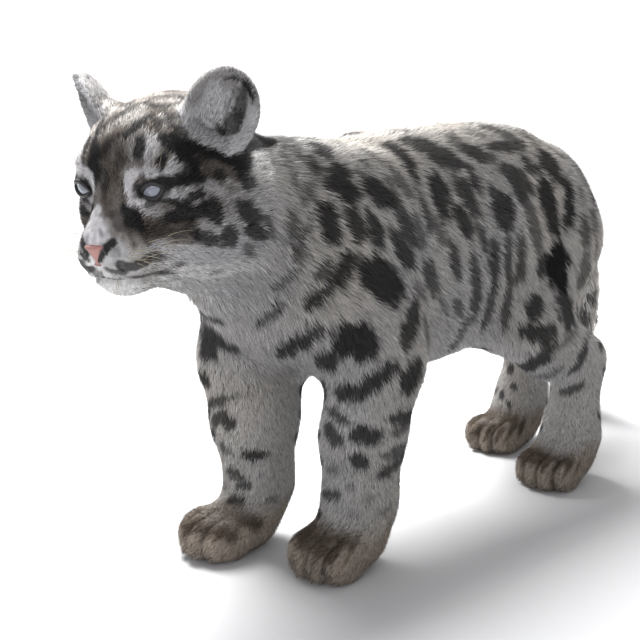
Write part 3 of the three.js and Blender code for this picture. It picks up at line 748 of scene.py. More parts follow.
def held_mark(x, y, long, wide, tilt, most):
    """A mark read in the view, as its centre, two half axes and normal on the skin."""
    centre, normal = seen(x, y)
    if centre is None:
        return None
    size = view_depth(centre) / FOCAL_PIXELS
    angle = radians(tilt)
    out = [centre]
    for length, (right, down) in ((long, (cos(angle), sin(angle))), (wide, (-sin(angle), cos(angle)))):
        flat = VIEW_RIGHT * right - VIEW_UP * down
        lying = flat - normal * (flat @ normal)
        slope = max(0.45, normal @ VIEW_BACK)
        stretch = min(most, 1 + (1 / slope - 1) * abs(flat @ normal))
        out.append(unit(lying[None])[0] * length * size * stretch)
    return out[0], out[1], out[2], normal


def mark_level(points, mark, rough):
    """1 inside a mark, falling softly to 0 at its edge."""
    centre, long, wide, normal = mark
    away = points - centre
    reach = 1.6 * np.linalg.norm(long) + 14
    near = np.flatnonzero((np.abs(away) < reach).all(1))
    level = np.zeros(len(points))
    if len(near) == 0:
        return level
    close = away[near]
    u = close @ long / (long @ long)
    v = close @ wide / (wide @ wide)
    w = close @ normal / (18 + 0.6 * np.linalg.norm(long))
    r = (np.abs(u) ** 2.3 + np.abs(v) ** 2.3) ** (1 / 2.3)
    r = np.hypot(r, w) + rough[near] * 0.22
    level[near] = smooth_step(1.26, 0.92, r)
    return level


def mirrored(mark, on_head, shift=(0, 0, 0)):
    """A mark's twin on the animal's other side."""
    if on_head:
        turn = head_to_body @ Matrix.Scale(-1, 4, (1, 0, 0)) @ body_to_head
        centre = np.array(turn @ Vector(mark[0]))
        spin = np.array(turn)[:3, :3]
    else:
        spin = np.diag((-1.0, 1.0, 1.0))
        centre = spin @ mark[0] + np.array(shift)
    nearest, normal, _, _ = skin_tree.find_nearest(Vector(centre))
    return np.array(nearest), spin @ mark[1], spin @ mark[2], np.array(normal)


def held_marks(groups):
    """Every mark of some groups that falls on the skin, with its tone and strength."""
    found = []
    for kind, rows in groups:
        for x, y, long, wide, tilt, strength in rows:
            mark = held_mark(x, y, long, wide, tilt, HEAD_STRETCH)
            if mark is not None:
                found.append((kind, mark, strength))
    return found


# Growth from the spots' cores to their soft edges, and how far the right legs stand from the left ones
SPOT_GROWTH = 1.12
FORE_STEP = np.array((0, -46, 0))
HIND_STEP = np.array((0, 95, -6))
# Marks nearer to the middle than this have no twin
BODY_MIDDLE, HEAD_MIDDLE = 22, 14
body_marks = []
for x, y, long, wide, tilt, strength in DARK_SPOTS:
    mark = held_mark(x, y, long * SPOT_GROWTH, wide * SPOT_GROWTH, tilt, BODY_STRETCH)
    if mark is None:
        continue
    body_marks.append((mark, strength))
    if mark[0][0] > BODY_MIDDLE:
        low = smooth_step(300, 190, mark[0][2])
        step = (FORE_STEP if mark[0][1] < 0 else HIND_STEP) * low
        body_marks.append((mirrored(mark, False, step), strength))
head_marks = []
for kind, mark, strength in held_marks(FACE_MARKS):
    head_marks.append((kind, mark, strength))
    if (body_to_head @ Vector(mark[0]))[0] > HEAD_MIDDLE:
        head_marks.append((kind, mirrored(mark, True), strength))
ear_marks = []
for kind, mark, strength in held_marks(EAR_MARKS):
    ear_marks += [(kind, mark, strength), (kind, mirrored(mark, True), strength)]

# Spots where the view doesn't reach: seeded, kept clear of the others
zone = {name: REGIONS.index(name) for name in REGIONS}
FILL_TRIES = 9000
FILL_GAP = 2.35
BACK_OF_HEAD = 42
tries = rng.permutation(len(points))[:FILL_TRIES]
taken = [mark[0] for mark, _ in body_marks]
FILL_SIZE = dict(
    neck=11, chest=13, belly=0, rump=13, upper_foreleg=11, thigh=12, forearm=8, shank=8, cannon=6,
    forepaw=0, hindpaw=0, tail=15, head=7.5, ear=0,
)
for index in tries:
    name = REGIONS[region[index]]
    size = FILL_SIZE[name]
    here = points[index]
    if size == 0 or (normals[index][2] < -0.35 and name != "tail"):
        continue
    if name == "head" and head_local(here[None])[0, 1] < BACK_OF_HEAD:
        continue
    facing = normals[index] @ unit((np.array(EYE_POINT) - here)[None])[0]
    if facing > 0.25 and name != "tail" and here[0] > -60:
        continue
    gap = size * FILL_GAP + 6
    if min(np.linalg.norm(np.array(taken) - here, axis=1)) < gap:
        continue
    banded = name in ("forearm", "shank", "tail")
    along = np.cross(normals[index], (0, 0, 1)) if banded else np.array((0, 0.8, -0.5))
    along = along - normals[index] * (along @ normals[index])
    along = unit((along + rng.normal(0, 0.25, 3) * 0.6)[None])[0]
    wide = np.cross(normals[index], along)
    grow = size * rng.uniform(0.8, 1.2)
    taken.append(here)
    mark = (here, along * grow * 1.25, wide * grow * 0.8, normals[index])
    body_marks.append((mark, rng.uniform(0.75, 0.92)))


def wave(points, size, seed):
    """Smooth, seeded noise between -1 and 1."""
    draw = np.random.default_rng(seed)
    total = np.zeros(len(points))
    for _ in range(7):
        direction = draw.normal(0, 1, 3)
        total += np.sin(points @ direction / size + draw.uniform(0, 6.28))
    return np.clip(total / 3.2, -1, 1)


HEAD, EAR, TAIL = zone["head"], zone["ear"], zone["tail"]


# The dark round the lids fades out in steps, this far from the opening
LID_RINGS = (2.5, 3.3, 4.1, 5.0)
# The head's marks fade out between these places along the body
HEAD_MARKS_END, HEAD_MARKS_FULL = -300, -345


def mixed(colour, tone, share):
    """Colours moved towards a tone by a share for each point."""
    return colour + (np.array(TONES[tone]) - colour) * share[:, None]


def coat_colour(points, normals, region):
    """The coat's colour at body points, the same for the skin and for the tufts rooted in it."""
    local = head_local(points)
    colour = np.tile(TONES["base"], (len(points), 1))
    tint = wave(points, 45, 11)[:, None]
    colour = colour * (1 + 0.10 * tint * np.array((1.0, 0.8, 0.5)))
    colour = mixed(colour, "pale", smooth_step(-0.2, -0.8, normals[:, 2]) * 0.7)
    rough = wave(points, 3.4, 5) + 0.7 * wave(points, 8, 6)
    paws = np.isin(region, (zone["forepaw"], zone["hindpaw"]))
    toes = paws * smooth_step(62, 30, points[:, 2] + 9 * wave(points, 12, 23))
    colour = mixed(colour, "paw", toes)
    # Painted shade: the coat is darkened in the clefts between the toes
    cleft_shade = np.zeros(len(points))
    for claws in FEET.values():
        across = np.sort(claws[:, 0])
        back = points[:, 1] - claws[:, 1].mean()
        near = paws * (np.abs(back) < TOE_SIDE) * (np.abs(points[:, 0] - across.mean()) < TOE_SIDE)
        near = near * smooth_step(42, 15, back)
        for middle in (across[1:] + across[:-1]) / 2:
            cleft_shade = np.maximum(cleft_shade, near * np.exp(-((points[:, 0] - middle) / 2.6) ** 2))
    colour = colour * (1 - 0.6 * cleft_shade)[:, None]
    above = toes * smooth_step(0.15, 0.75, normals[:, 2] + 0.35 * wave(points, 6, 21))
    colour = mixed(colour, "instep", above * 0.9)
    on_head = (region == HEAD) & (local[:, 1] < 95)
    crown = on_head * smooth_step(90, 35, local[:, 1]) * smooth_step(-42, -20, local[:, 2])
    crown = crown * smooth_step(84, 58, np.abs(local[:, 0]))
    mottle = 0.72 + 0.28 * wave(points, 5, 41)
    colour = mixed(colour, "face", crown * mottle)
    body = ~np.isin(region, (HEAD, EAR)) | ((region == HEAD) & (local[:, 1] > 34))
    level = np.zeros(len(points))
    for mark, strength in body_marks:
        level = np.maximum(level, mark_level(points, mark, rough) * strength)
    colour = mixed(colour, "dark", level * body)
    for kind, mark, strength in head_marks:
        ragged = rough * (0.3 if kind == "patch" else 1)
        share = mark_level(points, mark, ragged) * strength * (region != EAR)
        colour = mixed(colour, kind, share * smooth_step(HEAD_MARKS_END, HEAD_MARKS_FULL, points[:, 1]))
    for side in ("left", "right"):
        around = moved(points, (head_to_body @ eye_frame(side)).inverted())
        close = (np.linalg.norm(around, axis=1) < EYE_RADIUS + 8) & (around[:, 1] < 0)
        out = around[:, 0] * SIDE_SIGN[side]
        ring = sum(in_almond(out, around[:, 2], grow) for grow in LID_RINGS) / len(LID_RINGS)
        colour = mixed(colour, "dark", ring * close * 0.92)
    speckle = on_head * smooth_step(40, 0, local[:, 1]) * wave(points, 1.5, 51) * wave(points, 4, 52)
    colour = colour * (1 + 0.45 * speckle)[:, None]
    return ear_colour(colour, points, normals, region, local)


def ear_colour(colour, points, normals, region, local):
    """The ears' own tones over the coat's: dark behind, pale within."""
    turn = np.array(body_to_head)[:3, :3]
    facing = normals @ turn.T
    side = np.sign(local[:, 0])
    inward = -facing[:, 1] * 0.8 + side * facing[:, 0] * 0.5
    ears = region == EAR
    colour = mixed(colour, "pale", ears * smooth_step(0.15, 0.5, inward))
    colour = mixed(colour, "dark", ears * smooth_step(-0.05, -0.45, inward))
    rough = wave(points, 3.0, 15)
    for kind, mark, strength in ear_marks:
        colour = mixed(colour, kind, mark_level(points, mark, rough) * strength * (ears | (kind != "rim")))
    return colour


# The ears are hollowed along their grooves
EAR_HOLLOW = 4.5
hollow = np.zeros(len(points))
for kind, mark, strength in ear_marks:
    if kind == "shaded_groove":
        hollow = np.maximum(hollow, mark_level(points, mark, hollow * 0) * strength)
points = points - normals * hollow[:, None] * EAR_HOLLOW
points = averaged(points, edges, 2, 0.5 * (region == EAR))
set_coords(skin.data, from_body(points))
normals = corner_normals(points, faces)


def paint(mesh, colours):
    layer = mesh.attributes.new("Coat", "FLOAT_COLOR", "POINT")
    full = np.ones((len(colours), 4))
    full[:, :3] = colours
    layer.data.foreach_set("color", full.ravel())


ROOT_SHADE = 0.8
paint(skin.data, coat_colour(points, normals, region) * ROOT_SHADE)

# The lie of the coat
TAIL_PATH = np.array([
    (0, 240, 408), (-14, 308, 386), (-44, 386, 318), (-62, 440, 230), (-92, 486, 146), (-140, 530, 88),
    (-200, 574, 68), (-256, 610, 92), (-290, 632, 150), (-296, 640, 210),
], float)
DOWN_LEG = {
    "upper_foreleg": (0, 0.35, -1), "forearm": (0, 0.10, -1), "forepaw": (0, -0.9, -0.55),
    "thigh": (0, 0.45, -1), "shank": (0, 0.35, -1), "cannon": (0, 0.05, -1), "hindpaw": (0, -0.9, -0.55),
}


def lie(points, normals, region):
    """The way the hairs lie at each point, along the skin."""
    flank = np.abs(normals[:, 0])
    chest = smooth_step(-0.3, -0.9, normals[:, 1])
    way = np.stack((0 * flank, 1 - 0.9 * chest, -0.12 - 0.85 * flank - 0.9 * chest), 1)
    for name, direction in DOWN_LEG.items():
        way[region == zone[name]] = direction
    local = head_local(points)
    from_nose = local - np.array((0, -122, -34))
    from_nose[:, 1] += 18
    from_ear = local - np.stack((np.sign(local[:, 0]) * 52, 0 * flank + 18, 0 * flank + 26), 1)
    turn = np.array(head_to_body)[:3, :3]
    way[region == HEAD] = (unit(from_nose) @ turn.T)[region == HEAD]
    way[region == EAR] = (unit(from_ear) @ turn.T)[region == EAR]
    tail = np.flatnonzero(region == TAIL)
    gaps = np.linalg.norm(points[tail][:, None] - TAIL_PATH[None], axis=2)
    step = np.clip(gaps.argmin(1), 0, len(TAIL_PATH) - 2)
    way[tail] = TAIL_PATH[step + 1] - TAIL_PATH[step]
    way = unit(way)
    way = averaged(way, edges, 12)
    way = way - normals * (way * normals).sum(1)[:, None]
    return unit(way)


# How much shorter or longer than its region's the hair is on these parts of the face
SHORT_ON_MUZZLE, SHORT_ON_PATCH, LONG_ON_CHEEK = 0.62, 0.55, 0.9
flow = lie(points, normals, region)
length = spread("length", 16)
width = spread("width", 16)
lift = spread("lift", 16)
share = spread("share", 16)
local = head_local(points)
muzzle = smooth_step(-62, -96, local[:, 1]) * (region == HEAD)
length = length * (1 - SHORT_ON_MUZZLE * muzzle)
width = width * (1 - 0.25 * muzzle)
patch = np.zeros(len(points))
for kind, mark, strength in head_marks:
    if kind == "patch":
        patch = np.maximum(patch, mark_level(points, mark, patch))
length = length * (1 - SHORT_ON_PATCH * patch)
cheek = smooth_step(-10, 30, local[:, 1]) * (region == HEAD) * smooth_step(30, -30, local[:, 2])
length = length * (1 + LONG_ON_CHEEK * cheek)
SHORTEST_BY_EYE = 0.35
eye_near = np.ones(len(points))
for side in ("left", "right"):
    centre = np.array(head_to_body @ eye_frame(side) @ Vector((0, 0, 0)))
    off = np.linalg.norm(points - centre, axis=1)
    eye_near = eye_near * smooth_step(EYE_RADIUS + 1.5, EYE_RADIUS + 6, off)
length = length * (SHORTEST_BY_EYE + (1 - SHORTEST_BY_EYE) * eye_near)

# Where no hair grows: the balls' openings and the line between the lips
bald = line_distance(points, mouth_line) < 1.6
for side in ("left", "right"):
    around = moved(points, (head_to_body @ eye_frame(side)).inverted())
    close = (np.linalg.norm(around, axis=1) < EYE_RADIUS + 6) & (around[:, 1] < 0)
    bald |= close & in_almond(around[:, 0] * SIDE_SIGN[side], around[:, 2], 2.2)
NOSE_MIDDLE = np.array((0, -117, -39))
NOSE_HALF = np.array((19, 16, 12))
bald |= np.linalg.norm((local - NOSE_MIDDLE) / NOSE_HALF, axis=1) < 1
SOLE_TOP = -4.5
bald |= points[:, 2] < SOLE_TOP

# Roots, spread by area over the skin, more of them where a tuft's share of it is smaller
THIN_OUT = 1.07
SWAY, LOCK_SWAY, LOCK_SIZE = 0.17, 0.16, 14
FLECKED, PAW_FLECKED = 0.10, 0.16
corner = points[faces]
area = np.linalg.norm(np.cross(corner[:, 1] - corner[:, 0], corner[:, 2] - corner[:, 0]), axis=1) / 2
wanted = area / (share[faces].mean(1) * THIN_OUT) * (1 - bald[faces].mean(1))
total = int(wanted.sum())
ladder = np.cumsum(wanted) / wanted.sum()
draw = (np.arange(total) + rng.uniform(0, 1, total)) / total
home = np.searchsorted(ladder, draw).clip(0, len(faces) - 1)
a, b = rng.uniform(0, 1, (2, total))
over = a + b > 1
a[over], b[over] = 1 - a[over], 1 - b[over]
weights = np.stack((1 - a - b, a, b), 1)


def at_root(values):
    if values.ndim == 1:
        return (values[faces[home]] * weights).sum(1)
    return (values[faces[home]] * weights[:, :, None]).sum(1)


root = at_root(points)
root_normal = unit(at_root(normals))
root_region = region[faces[home, 0]]
root_flow = unit(at_root(flow))
root_length = at_root(length) * rng.uniform(0.75, 1.2, total)
root_width = at_root(width) * rng.uniform(0.75, 1.3, total)
root_lift = np.radians(at_root(lift) * rng.uniform(0.55, 1.45, total))
sway = rng.normal(0, SWAY, total) + LOCK_SWAY * wave(root, LOCK_SIZE, 31)
side_way = np.cross(root_normal, root_flow)
root_flow = unit(root_flow * np.cos(sway)[:, None] + side_way * np.sin(sway)[:, None])
side_way = np.cross(root_normal, root_flow)
root_colour = coat_colour(root, root_normal, root_region)
root_colour = root_colour * rng.lognormal(0.04, 0.22, total)[:, None]
on_paw = np.isin(root_region, (zone["forepaw"], zone["hindpaw"]))
flecked = rng.uniform(0, 1, total) < FLECKED + PAW_FLECKED * on_paw
root_colour = root_colour * np.where(flecked, rng.uniform(0.18, 0.5, total), 1)[:, None]

uv = np.empty(len(skin.data.loops) * 2)
skin.data.uv_layers[0].data.foreach_get("uv", uv)
uv = uv.reshape(-1, 2)
loop_triangles = np.empty(len(faces) * 3, np.int32)
skin.data.loop_triangles.foreach_get("loops", loop_triangles)
root_uv = (uv[loop_triangles.reshape(-1, 3)[home]] * weights[:, :, None]).sum(1)
LAYERS = 8
SOLE = -7
PATCH = 0.0015
BENT_FROM = 16.5
ROOT_DEPTH = 0.8


def strands(picked, bent):
    """Closed tapered tufts: points, faces, and each point's share of the length, side and tuft."""
    r, n = root[picked], root_normal[picked]
    f, s = root_flow[picked], side_way[picked]
    size, wide = root_length[picked][:, None], root_width[picked][:, None]
    rise = np.tan(root_lift[picked])[:, None]
    base = r - n * ROOT_DEPTH
    rings = [(base, wide, 0.0)]
    if bent:
        rings.append((r + f * size * 0.5 + n * size * 0.5 * rise * 1.15, wide * 0.85, 0.5))
    tip = r + f * size + n * size * rise * (0.85 if bent else 1)
    out, along, side = [], [], []
    for centre, across, where in rings:
        out += [centre - s * across / 2, centre + s * across / 2, centre + n * across * 0.38]
        along += [where] * 3
        side += [-1, 1, 0]
    out.append(tip)
    along.append(1.0)
    side.append(0)
    count = len(out)
    shape = [(0, 1, 2)]
    for k in range(len(rings) - 1):
        for i in range(3):
            j = (i + 1) % 3
            shape += [(3 * k + i, 3 * k + 3 + i, 3 * k + 3 + j), (3 * k + i, 3 * k + 3 + j, 3 * k + j)]
    last = 3 * (len(rings) - 1)
    for i in range(3):
        shape.append((last + i, count - 1, last + (i + 1) % 3))
    points = np.stack(out, 1).reshape(-1, 3)
    tufts = len(picked)
    corners = (np.array(shape)[None, :, ::-1] + (np.arange(tufts) * count)[:, None, None]).reshape(-1, 3)
    return points, corners, np.tile(along, tufts), np.tile(side, tufts), np.repeat(np.arange(tufts), count)


def tuft_piece(title, picked):
    """One layer of the coat as a mesh, with its colours and its map."""
    shapes = []
    start = 0
    for bent in (False, True):
        some = picked[(root_length[picked] > BENT_FROM) == bent]
        if len(some) == 0:
            continue
        here, corners, along, side, owner = strands(some, bent)
        shapes.append((here, corners + start, along, side, some[owner]))
        start += len(here)
    here, corners, along, side, owner = (np.concatenate(parts) for parts in zip(*shapes))
    here[:, 2] = np.maximum(here[:, 2], SOLE + 0.1)
    made = bpy.data.meshes.new(title)
    made.vertices.add(len(here))
    made.loops.add(len(corners) * 3)
    made.polygons.add(len(corners))
    made.vertices.foreach_set("co", from_body(here).ravel())
    made.polygons.foreach_set("loop_start", np.arange(len(corners)) * 3)
    made.loops.foreach_set("vertex_index", corners.ravel())
    made.polygons.foreach_set("use_smooth", np.ones(len(corners), bool))
    made.update()
    made.validate()
    # Painted shade: each tuft is darker towards its root, deep in the coat
    paint(made, root_colour[owner] * (0.72 + 0.42 * along)[:, None])
    layer = made.uv_layers.new(name="OFBake")
    flat = corners.ravel()
    jog = np.stack((side, along * 2 - 1), 1) * PATCH
    layer.data.foreach_set("uv", (root_uv[owner] + jog)[flat].ravel())
    piece = bpy.data.objects.new(title, made)
    bpy.context.scene.collection.objects.link(piece)
    return piece


layer_of = rng.integers(0, LAYERS, total)
coat = [tuft_piece(f"coat_{i + 1}", np.flatnonzero(layer_of == i)) for i in range(LAYERS)]

# Single thick hairs and rims, as closed tapered tubes
def tube(paths, radii, sides=5):
    """One mesh of closed tubes, each along its own path of body points."""
    out, shape = [], []
    start = 0
    for path, radius in zip(paths, radii):
        path = np.asarray(path, float)
        radius = np.broadcast_to(radius, len(path))
        along = unit(np.gradient(path, axis=0))
        first = unit(np.cross(along, (0.13, 0.31, 0.94)))
        second = np.cross(along, first)
        turn = np.arange(sides) * 2 * pi / sides
        ring = first[:, None] * np.cos(turn)[None, :, None] + second[:, None] * np.sin(turn)[None, :, None]
        out.append((path[:, None] + ring * radius[:, None, None]).reshape(-1, 3))
        out.append(path[[0, -1]])
        count = len(path)
        for k in range(count - 1):
            for i in range(sides):
                j = (i + 1) % sides
                a, b = start + k * sides, start + (k + 1) * sides
                shape += [(a + i, a + j, b + j), (a + i, b + j, b + i)]
        low, high = start + count * sides, start + count * sides + 1
        for i in range(sides):
            j = (i + 1) % sides
            shape.append((low, start + j, start + i))
            shape.append((high, start + (count - 1) * sides + i, start + (count - 1) * sides + j))
        start = high + 1
    return np.concatenate(out), shape


def piece_of(title, points, shape):
    made = bpy.data.meshes.new(title)
    made.from_pydata(from_body(points).tolist(), [], shape)
    made.polygons.foreach_set("use_smooth", np.ones(len(made.polygons), bool))
    made.update()
    piece = bpy.data.objects.new(title, made)
    bpy.context.scene.collection.objects.link(piece)
    return piece


# Eyes: a ball with a bulged cornea, the iris painted round the gaze
GAZE_TURN = {"left": -4, "right": 4}
IRIS = np.array((0.20, 0.215, 0.265))
IRIS_RIM = np.array((0.02, 0.022, 0.026))
PUPIL = np.array((0.05, 0.055, 0.07))
UPPER_RIM, LOWER_RIM = 2.3, 1.9
eyes = {}
lids = []
for side in ("left", "right"):
    s = SIDE_SIGN[side]
    bpy.ops.mesh.primitive_uv_sphere_add(segments=96, ring_count=64, radius=EYE_RADIUS)
    ball = bpy.context.object
    ball.name = ball.data.name = f"eyeball_{side}"
    here = coords(ball.data)
    here = here[:, [0, 2, 1]] * np.array((1, -1, 1))
    out = unit(here)
    off = np.degrees(np.arccos(np.clip(-out[:, 1], -1, 1)))
    here = here * (1 + 0.05 * smooth_step(42, 12, off))[:, None]
    angle = np.arctan2(out[:, 2], out[:, 0])
    iris = IRIS * (1 + 0.16 * np.sin(angle * 23) * np.sin(angle * 9 + 1))[:, None]
    shade = smooth_step(-0.1, 0.8, out[:, 2] - 0.8 * s * out[:, 0])[:, None]
    iris = iris * (1 - shade * np.array((0.82, 0.74, 0.62)))
    rim = smooth_step(43, 54, off)[:, None]
    iris = iris + (IRIS_RIM - iris) * rim
    pupil = smooth_step(13, 8, off)[:, None] * 0.35
    iris = iris + (PUPIL - iris) * pupil
    gaze = head_to_body @ Matrix.Translation((s * EYE_OUT, -EYE_FORWARD, EYE_UP))
    gaze = gaze @ Matrix.Rotation(radians(GAZE_TURN[side] + s * LID["outward"]), 4, "Z")
    set_coords(ball.data, from_body(moved(here, gaze)))
    paint(ball.data, iris)
    ball.data.polygons.foreach_set("use_smooth", np.ones(len(ball.data.polygons), bool))
    facet = ball.data.polygons[0]
    if facet.normal.dot(facet.center - placed(gaze.translation)) < 0:
        ball.data.flip_normals()
    eyes[side] = ball

    # The dark rim of the lids
    turn = np.linspace(-1, 1, 25)
    across = turn * LID["half"] - s * LID["inward"]
    upper = np.stack((across, 0 * turn, LID["upper"] * (1 - turn ** 2)), 1)
    lower = np.stack((across, 0 * turn, -LID["lower"] * (1 - turn ** 2)), 1)
    paths, radii = [], []
    for line, thick in ((upper, UPPER_RIM), (lower, LOWER_RIM)):
        reach = np.sqrt(np.maximum(1, (EYE_RADIUS + 0.9) ** 2 - (line ** 2).sum(1)))
        line = line + np.stack((0 * reach, -reach, 0 * reach), 1)
        paths.append(moved(line, head_to_body @ eye_frame(side)))
        radii.append(thick * (0.55 + 0.45 * (1 - turn ** 4)))
    lids.append(piece_of(f"eyelids_{side}", *tube(paths, radii, 8)))

# Whiskers, brow hairs and the beard: rooted at head points, near side, with the other side's twins.
# Each is the root's pixel, the tip's pixel and how far the tip comes forward of the root, in millimetres.
WHISKERS = [
    (165, 238, 193, 231, 17), (157, 245, 196, 241, 24), (162, 247, 206, 249, 26), (140, 256, 172, 263, 20),
    (150, 251, 184, 256, 21), (148, 243, 176, 238, 17), (136, 250, 158, 256, 16), (144, 262, 168, 273, 16),
]
BEARD = [
    (95, 286, 87, 292, 3), (97, 289, 91, 303, 3), (145, 290, 146, 304, 3), (152, 290, 154, 307, 2),
    (155, 288, 161, 295, 2), (124, 298, 126, 311, 3), (110, 296, 108, 308, 3), (135, 296, 138, 307, 3),
]
BROW_HAIRS = [(158, 170, 163, 145, 12), (163, 172, 172, 150, 10), (154, 168, 154, 146, 12)]
# Longer ones from the front of the lip; their tips are read on the far side
FAR_TIPS = [(40, 249), (47, 256), (61, 263), (57, 253), (64, 270), (51, 243)]
FAR_WIDTH = 0.40
TAPER = 0.86
hair_steps = np.linspace(0, 1, 9)[:, None]
hair_paths, hair_radii = [], []


def add_hair(start, tip, bow, thick, sunk):
    """A tapered hair that bows upwards by a share of its length, and its twin on the other side."""
    path = start - sunk + (tip - start) * hair_steps
    path[:, 2] += bow * np.linalg.norm(tip - start) * (4 * hair_steps * (1 - hair_steps))[:, 0]
    for route in (path, np.array([flipped(p) for p in path])):
        hair_paths.append(route)
        hair_radii.append(thick * (1 - TAPER * hair_steps[:, 0]))


def skin_above(x, y):
    """The first skin found at a pixel or a little above it, and its normal."""
    return next(found for found in (seen(x, y - up) for up in range(0, 40, 2)) if found[0] is not None)


for hairs, thick, bow in ((WHISKERS, 0.42, 0.05), (BEARD, 0.30, 0.05), (BROW_HAIRS, 0.24, -0.10)):
    for x0, y0, x1, y1, ahead in hairs:
        start, normal = skin_above(x0, y0)
        tip = np.array(EYE_POINT) + (view_depth(start) - ahead) * view_ray(x1, y1)
        add_hair(start, tip, bow, thick, normal * 1.5)
for i, (x1, y1) in enumerate(FAR_TIPS):
    start = np.array(head_to_body @ Vector((-17 - i % 3, -96 + 2 * i, -45 - 2.2 * i)))
    tip = np.array(EYE_POINT) + (view_depth(start) + 12) * view_ray(x1, y1)
    add_hair(start, tip, 0.04, FAR_WIDTH, 0)
whiskers = piece_of("whiskers", *tube(hair_paths, hair_radii, 4))


# Materials
def group_of(title, inputs, output, kind):
    """An empty node group with its sockets."""
    group = bpy.data.node_groups.new(title, "ShaderNodeTree")
    for name, value in inputs:
        socket = group.interface.new_socket(name, in_out="INPUT", socket_type="NodeSocketFloat")
        socket.default_value = value
    group.interface.new_socket(output, in_out="OUTPUT", socket_type=kind)
    return group, group.nodes.new("NodeGroupInput"), group.nodes.new("NodeGroupOutput")


TINT_SOCKETS = [("Scale", 400), ("Spread", 0.25)]
tint, tint_in, tint_out = group_of("Coat tint", TINT_SOCKETS, "Color", "NodeSocketColor")
link = tint.links.new
coat_attribute = tint.nodes.new("ShaderNodeAttribute")
coat_attribute.attribute_name = "Coat"
place = tint.nodes.new("ShaderNodeTexCoord")
grain = tint.nodes.new("ShaderNodeTexNoise")
link(place.outputs["Object"], grain.inputs["Vector"])
link(tint_in.outputs["Scale"], grain.inputs["Scale"])
span = tint.nodes.new("ShaderNodeMath")
span.operation = "MULTIPLY_ADD"
link(grain.outputs["Fac"], span.inputs[0])
link(tint_in.outputs["Spread"], span.inputs[1])
span.inputs[2].default_value = 0.88
shaded = tint.nodes.new("ShaderNodeVectorMath")
shaded.operation = "SCALE"
link(coat_attribute.outputs["Color"], shaded.inputs[0])
link(span.outputs["Value"], shaded.inputs["Scale"])
link(shaded.outputs["Vector"], tint_out.inputs["Color"])

pits, pits_in, pits_out = group_of("Fine relief", [("Scale", 900)], "Height", "NodeSocketFloat")
link = pits.links.new
place = pits.nodes.new("ShaderNodeTexCoord")
grain = pits.nodes.new("ShaderNodeTexNoise")
grain.inputs["Detail"].default_value = 3
link(place.outputs["Object"], grain.inputs["Vector"])
link(pits_in.outputs["Scale"], grain.inputs["Scale"])
link(grain.outputs["Fac"], pits_out.inputs["Height"])


def material(title, rough, colour=None, spread=0.25, tint_scale=400, relief=0.0, relief_scale=900,
             coat=0.0, specular=0.5):
    """A material of one colour, or of the painted one with a fine tint, with or without a fine relief."""
    made = bpy.data.materials.new(title)
    made.use_nodes = True
    tree = made.node_tree
    shader = tree.nodes["Principled BSDF"]
    shader.inputs["Roughness"].default_value = rough
    shader.inputs["Specular IOR Level"].default_value = specular
    shader.inputs["Coat Weight"].default_value = coat
    shader.inputs["Coat Roughness"].default_value = 0.04
    if colour:
        shader.inputs["Base Color"].default_value = (*colour, 1)
    else:
        own = tree.nodes.new("ShaderNodeGroup")
        own.node_tree = tint
        own.inputs["Scale"].default_value = tint_scale
        own.inputs["Spread"].default_value = spread
        tree.links.new(own.outputs["Color"], shader.inputs["Base Color"])
    if relief:
        own = tree.nodes.new("ShaderNodeGroup")
        own.node_tree = pits
        own.inputs["Scale"].default_value = relief_scale
        bump = tree.nodes.new("ShaderNodeBump")
        bump.inputs["Strength"].default_value = relief
        bump.inputs["Distance"].default_value = 0.001
        tree.links.new(own.outputs["Height"], bump.inputs["Height"])
        tree.links.new(bump.outputs["Normal"], shader.inputs["Normal"])
    return made


SKIN = material("hide", 0.8, relief=0.5, specular=0.25)
FUR = material("fur", 0.78, spread=0.24, specular=0.12)
EYE = material("eye", 0.12, spread=0.0, coat=1.0)
LIDS = material("lid skin", 0.42, (0.012, 0.011, 0.012), relief=0.3)
NOSE = material("nose leather", 0.42, spread=0.2, tint_scale=900, relief=0.6, relief_scale=1500)
WHISKER = material("whisker", 0.4, (0.40, 0.35, 0.25))
CLAW = material("horn", 0.4, (0.045, 0.038, 0.032), coat=0.3)


def dress(piece, finish, replaced=()):
    """Gives a piece its material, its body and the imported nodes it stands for."""
    piece.data.materials.clear()
    piece.data.materials.append(finish)
    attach(piece, "root")
    if replaced:
        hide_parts(*replaced)


paint(nose.data, nose_colour)
dress(skin, SKIN, FLESH)
for piece in coat:
    dress(piece, FUR)
dress(nose, NOSE, ["nose_pad"])
for side, ball in eyes.items():
    dress(ball, EYE, [f"eye_{side}"])
for piece in lids:
    dress(piece, LIDS)
dress(whiskers, WHISKER)
# Claws: drawn back into the fur, so that little more than their tips shows
for limb, claws in FEET.items():
    for i, claw in enumerate(claws, 1):
        t = np.linspace(0, 1, 8)
        path = claw + np.stack((0 * t, 9 - 13 * t, 6 - 10 * t ** 2), 1)
        path[:, 2] = np.maximum(path[:, 2], SOLE + 2.5)
        tip = piece_of(f"horn_{limb}_{i}", *tube([path], [2.3 * (1 - t) ** 0.6 + 0.15], 10))
        dress(tip, CLAW, [f"claw_{limb}_{i}"])

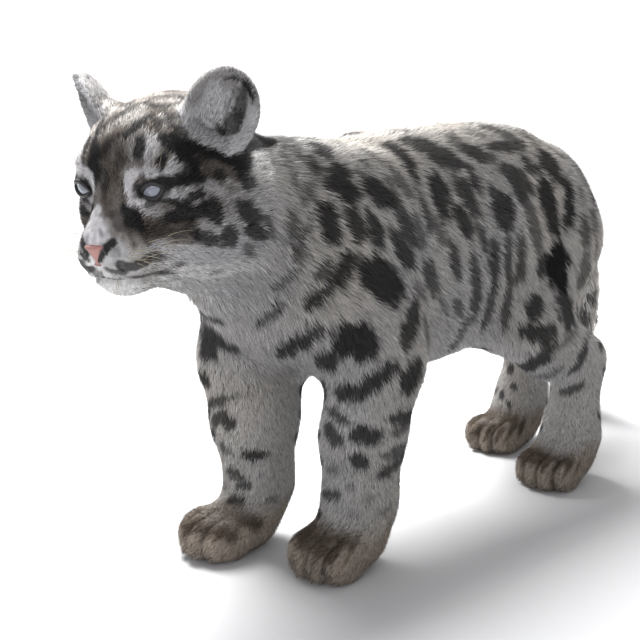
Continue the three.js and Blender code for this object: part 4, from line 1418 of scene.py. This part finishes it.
# Studio, its sizes in metres
FLOOR_SIZE, SHEET_SIZE, SHEET_AWAY = 40, 60, 16
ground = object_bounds()[0][2]
bpy.ops.mesh.primitive_plane_add(size=FLOOR_SIZE, location=(0, 0, ground))
floor = bpy.context.object
floor.name = "studio floor"
FLOOR_GREY = (0.52, 0.52, 0.525)
# Painted light: the floor glows more the further it lies from the camera, fading to white far off
GLOW_FROM, GLOW_TO, GLOW_MOST = 0.15, 2.2, 0.8
FLOOR = material("floor", 0.9, FLOOR_GREY, specular=0.1)
place = FLOOR.node_tree.nodes.new("ShaderNodeTexCoord")
away = FLOOR.node_tree.nodes.new("ShaderNodeVectorMath")
away.operation = "DOT_PRODUCT"
away.inputs[1].default_value = tuple(-VIEW_BACK)
glow = FLOOR.node_tree.nodes.new("ShaderNodeMapRange")
glow.inputs["From Min"].default_value = GLOW_FROM
glow.inputs["From Max"].default_value = GLOW_TO
FLOOR.node_tree.links.new(place.outputs["Object"], away.inputs[0])
FLOOR.node_tree.links.new(away.outputs["Value"], glow.inputs["Value"])
shader = FLOOR.node_tree.nodes["Principled BSDF"]
FLOOR.node_tree.links.new(glow.outputs["Result"], shader.inputs["Emission Color"])
shader.inputs["Emission Strength"].default_value = GLOW_MOST
floor.data.materials.append(FLOOR)

# A white sheet far behind
behind = tuple(-VIEW_BACK * np.array((SHEET_AWAY, SHEET_AWAY, 0)))
bpy.ops.mesh.primitive_plane_add(size=SHEET_SIZE, location=behind)
sheet = bpy.context.object
sheet.name = "backdrop"
sheet.rotation_euler = (radians(90), 0, AZIMUTH)
BACKDROP = bpy.data.materials.new("backdrop white")
BACKDROP.use_nodes = True
shader = BACKDROP.node_tree.nodes["Principled BSDF"]
shader.inputs["Emission Color"].default_value = (1, 1, 1, 1)
shader.inputs["Emission Strength"].default_value = 1.0
sheet.data.materials.append(BACKDROP)
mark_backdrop(floor, sheet)


def lamp(title, energy, size, at, towards, tone=(1, 1, 1)):
    light = bpy.data.lights.new(title, "AREA")
    light.energy = energy
    light.size = size
    light.color = tone
    obj = bpy.data.objects.new(title, light)
    bpy.context.scene.collection.objects.link(obj)
    obj.location = placed(at)
    obj.rotation_mode = "QUATERNION"
    obj.rotation_quaternion = (Vector(towards) - Vector(at)).to_track_quat("-Z", "Y")


TOP_POWER, FRONT_POWER, SKY_STRENGTH = 170, 9, 0.58
lamp("top", TOP_POWER, 1.3, (-900, 150, 1900), (0, -50, 250))
lamp("front", FRONT_POWER, 1.2, (1100, -1900, 900), (0, -300, 300), (0.95, 0.96, 1.0))
world = bpy.data.worlds.new("studio")
bpy.context.scene.world = world
world.use_nodes = True
sky = world.node_tree.nodes["Background"]
sky.inputs["Color"].default_value = (0.98, 0.98, 1, 1)
sky.inputs["Strength"].default_value = SKY_STRENGTH
bpy.context.scene.view_settings.view_transform = "Standard"

low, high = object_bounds()
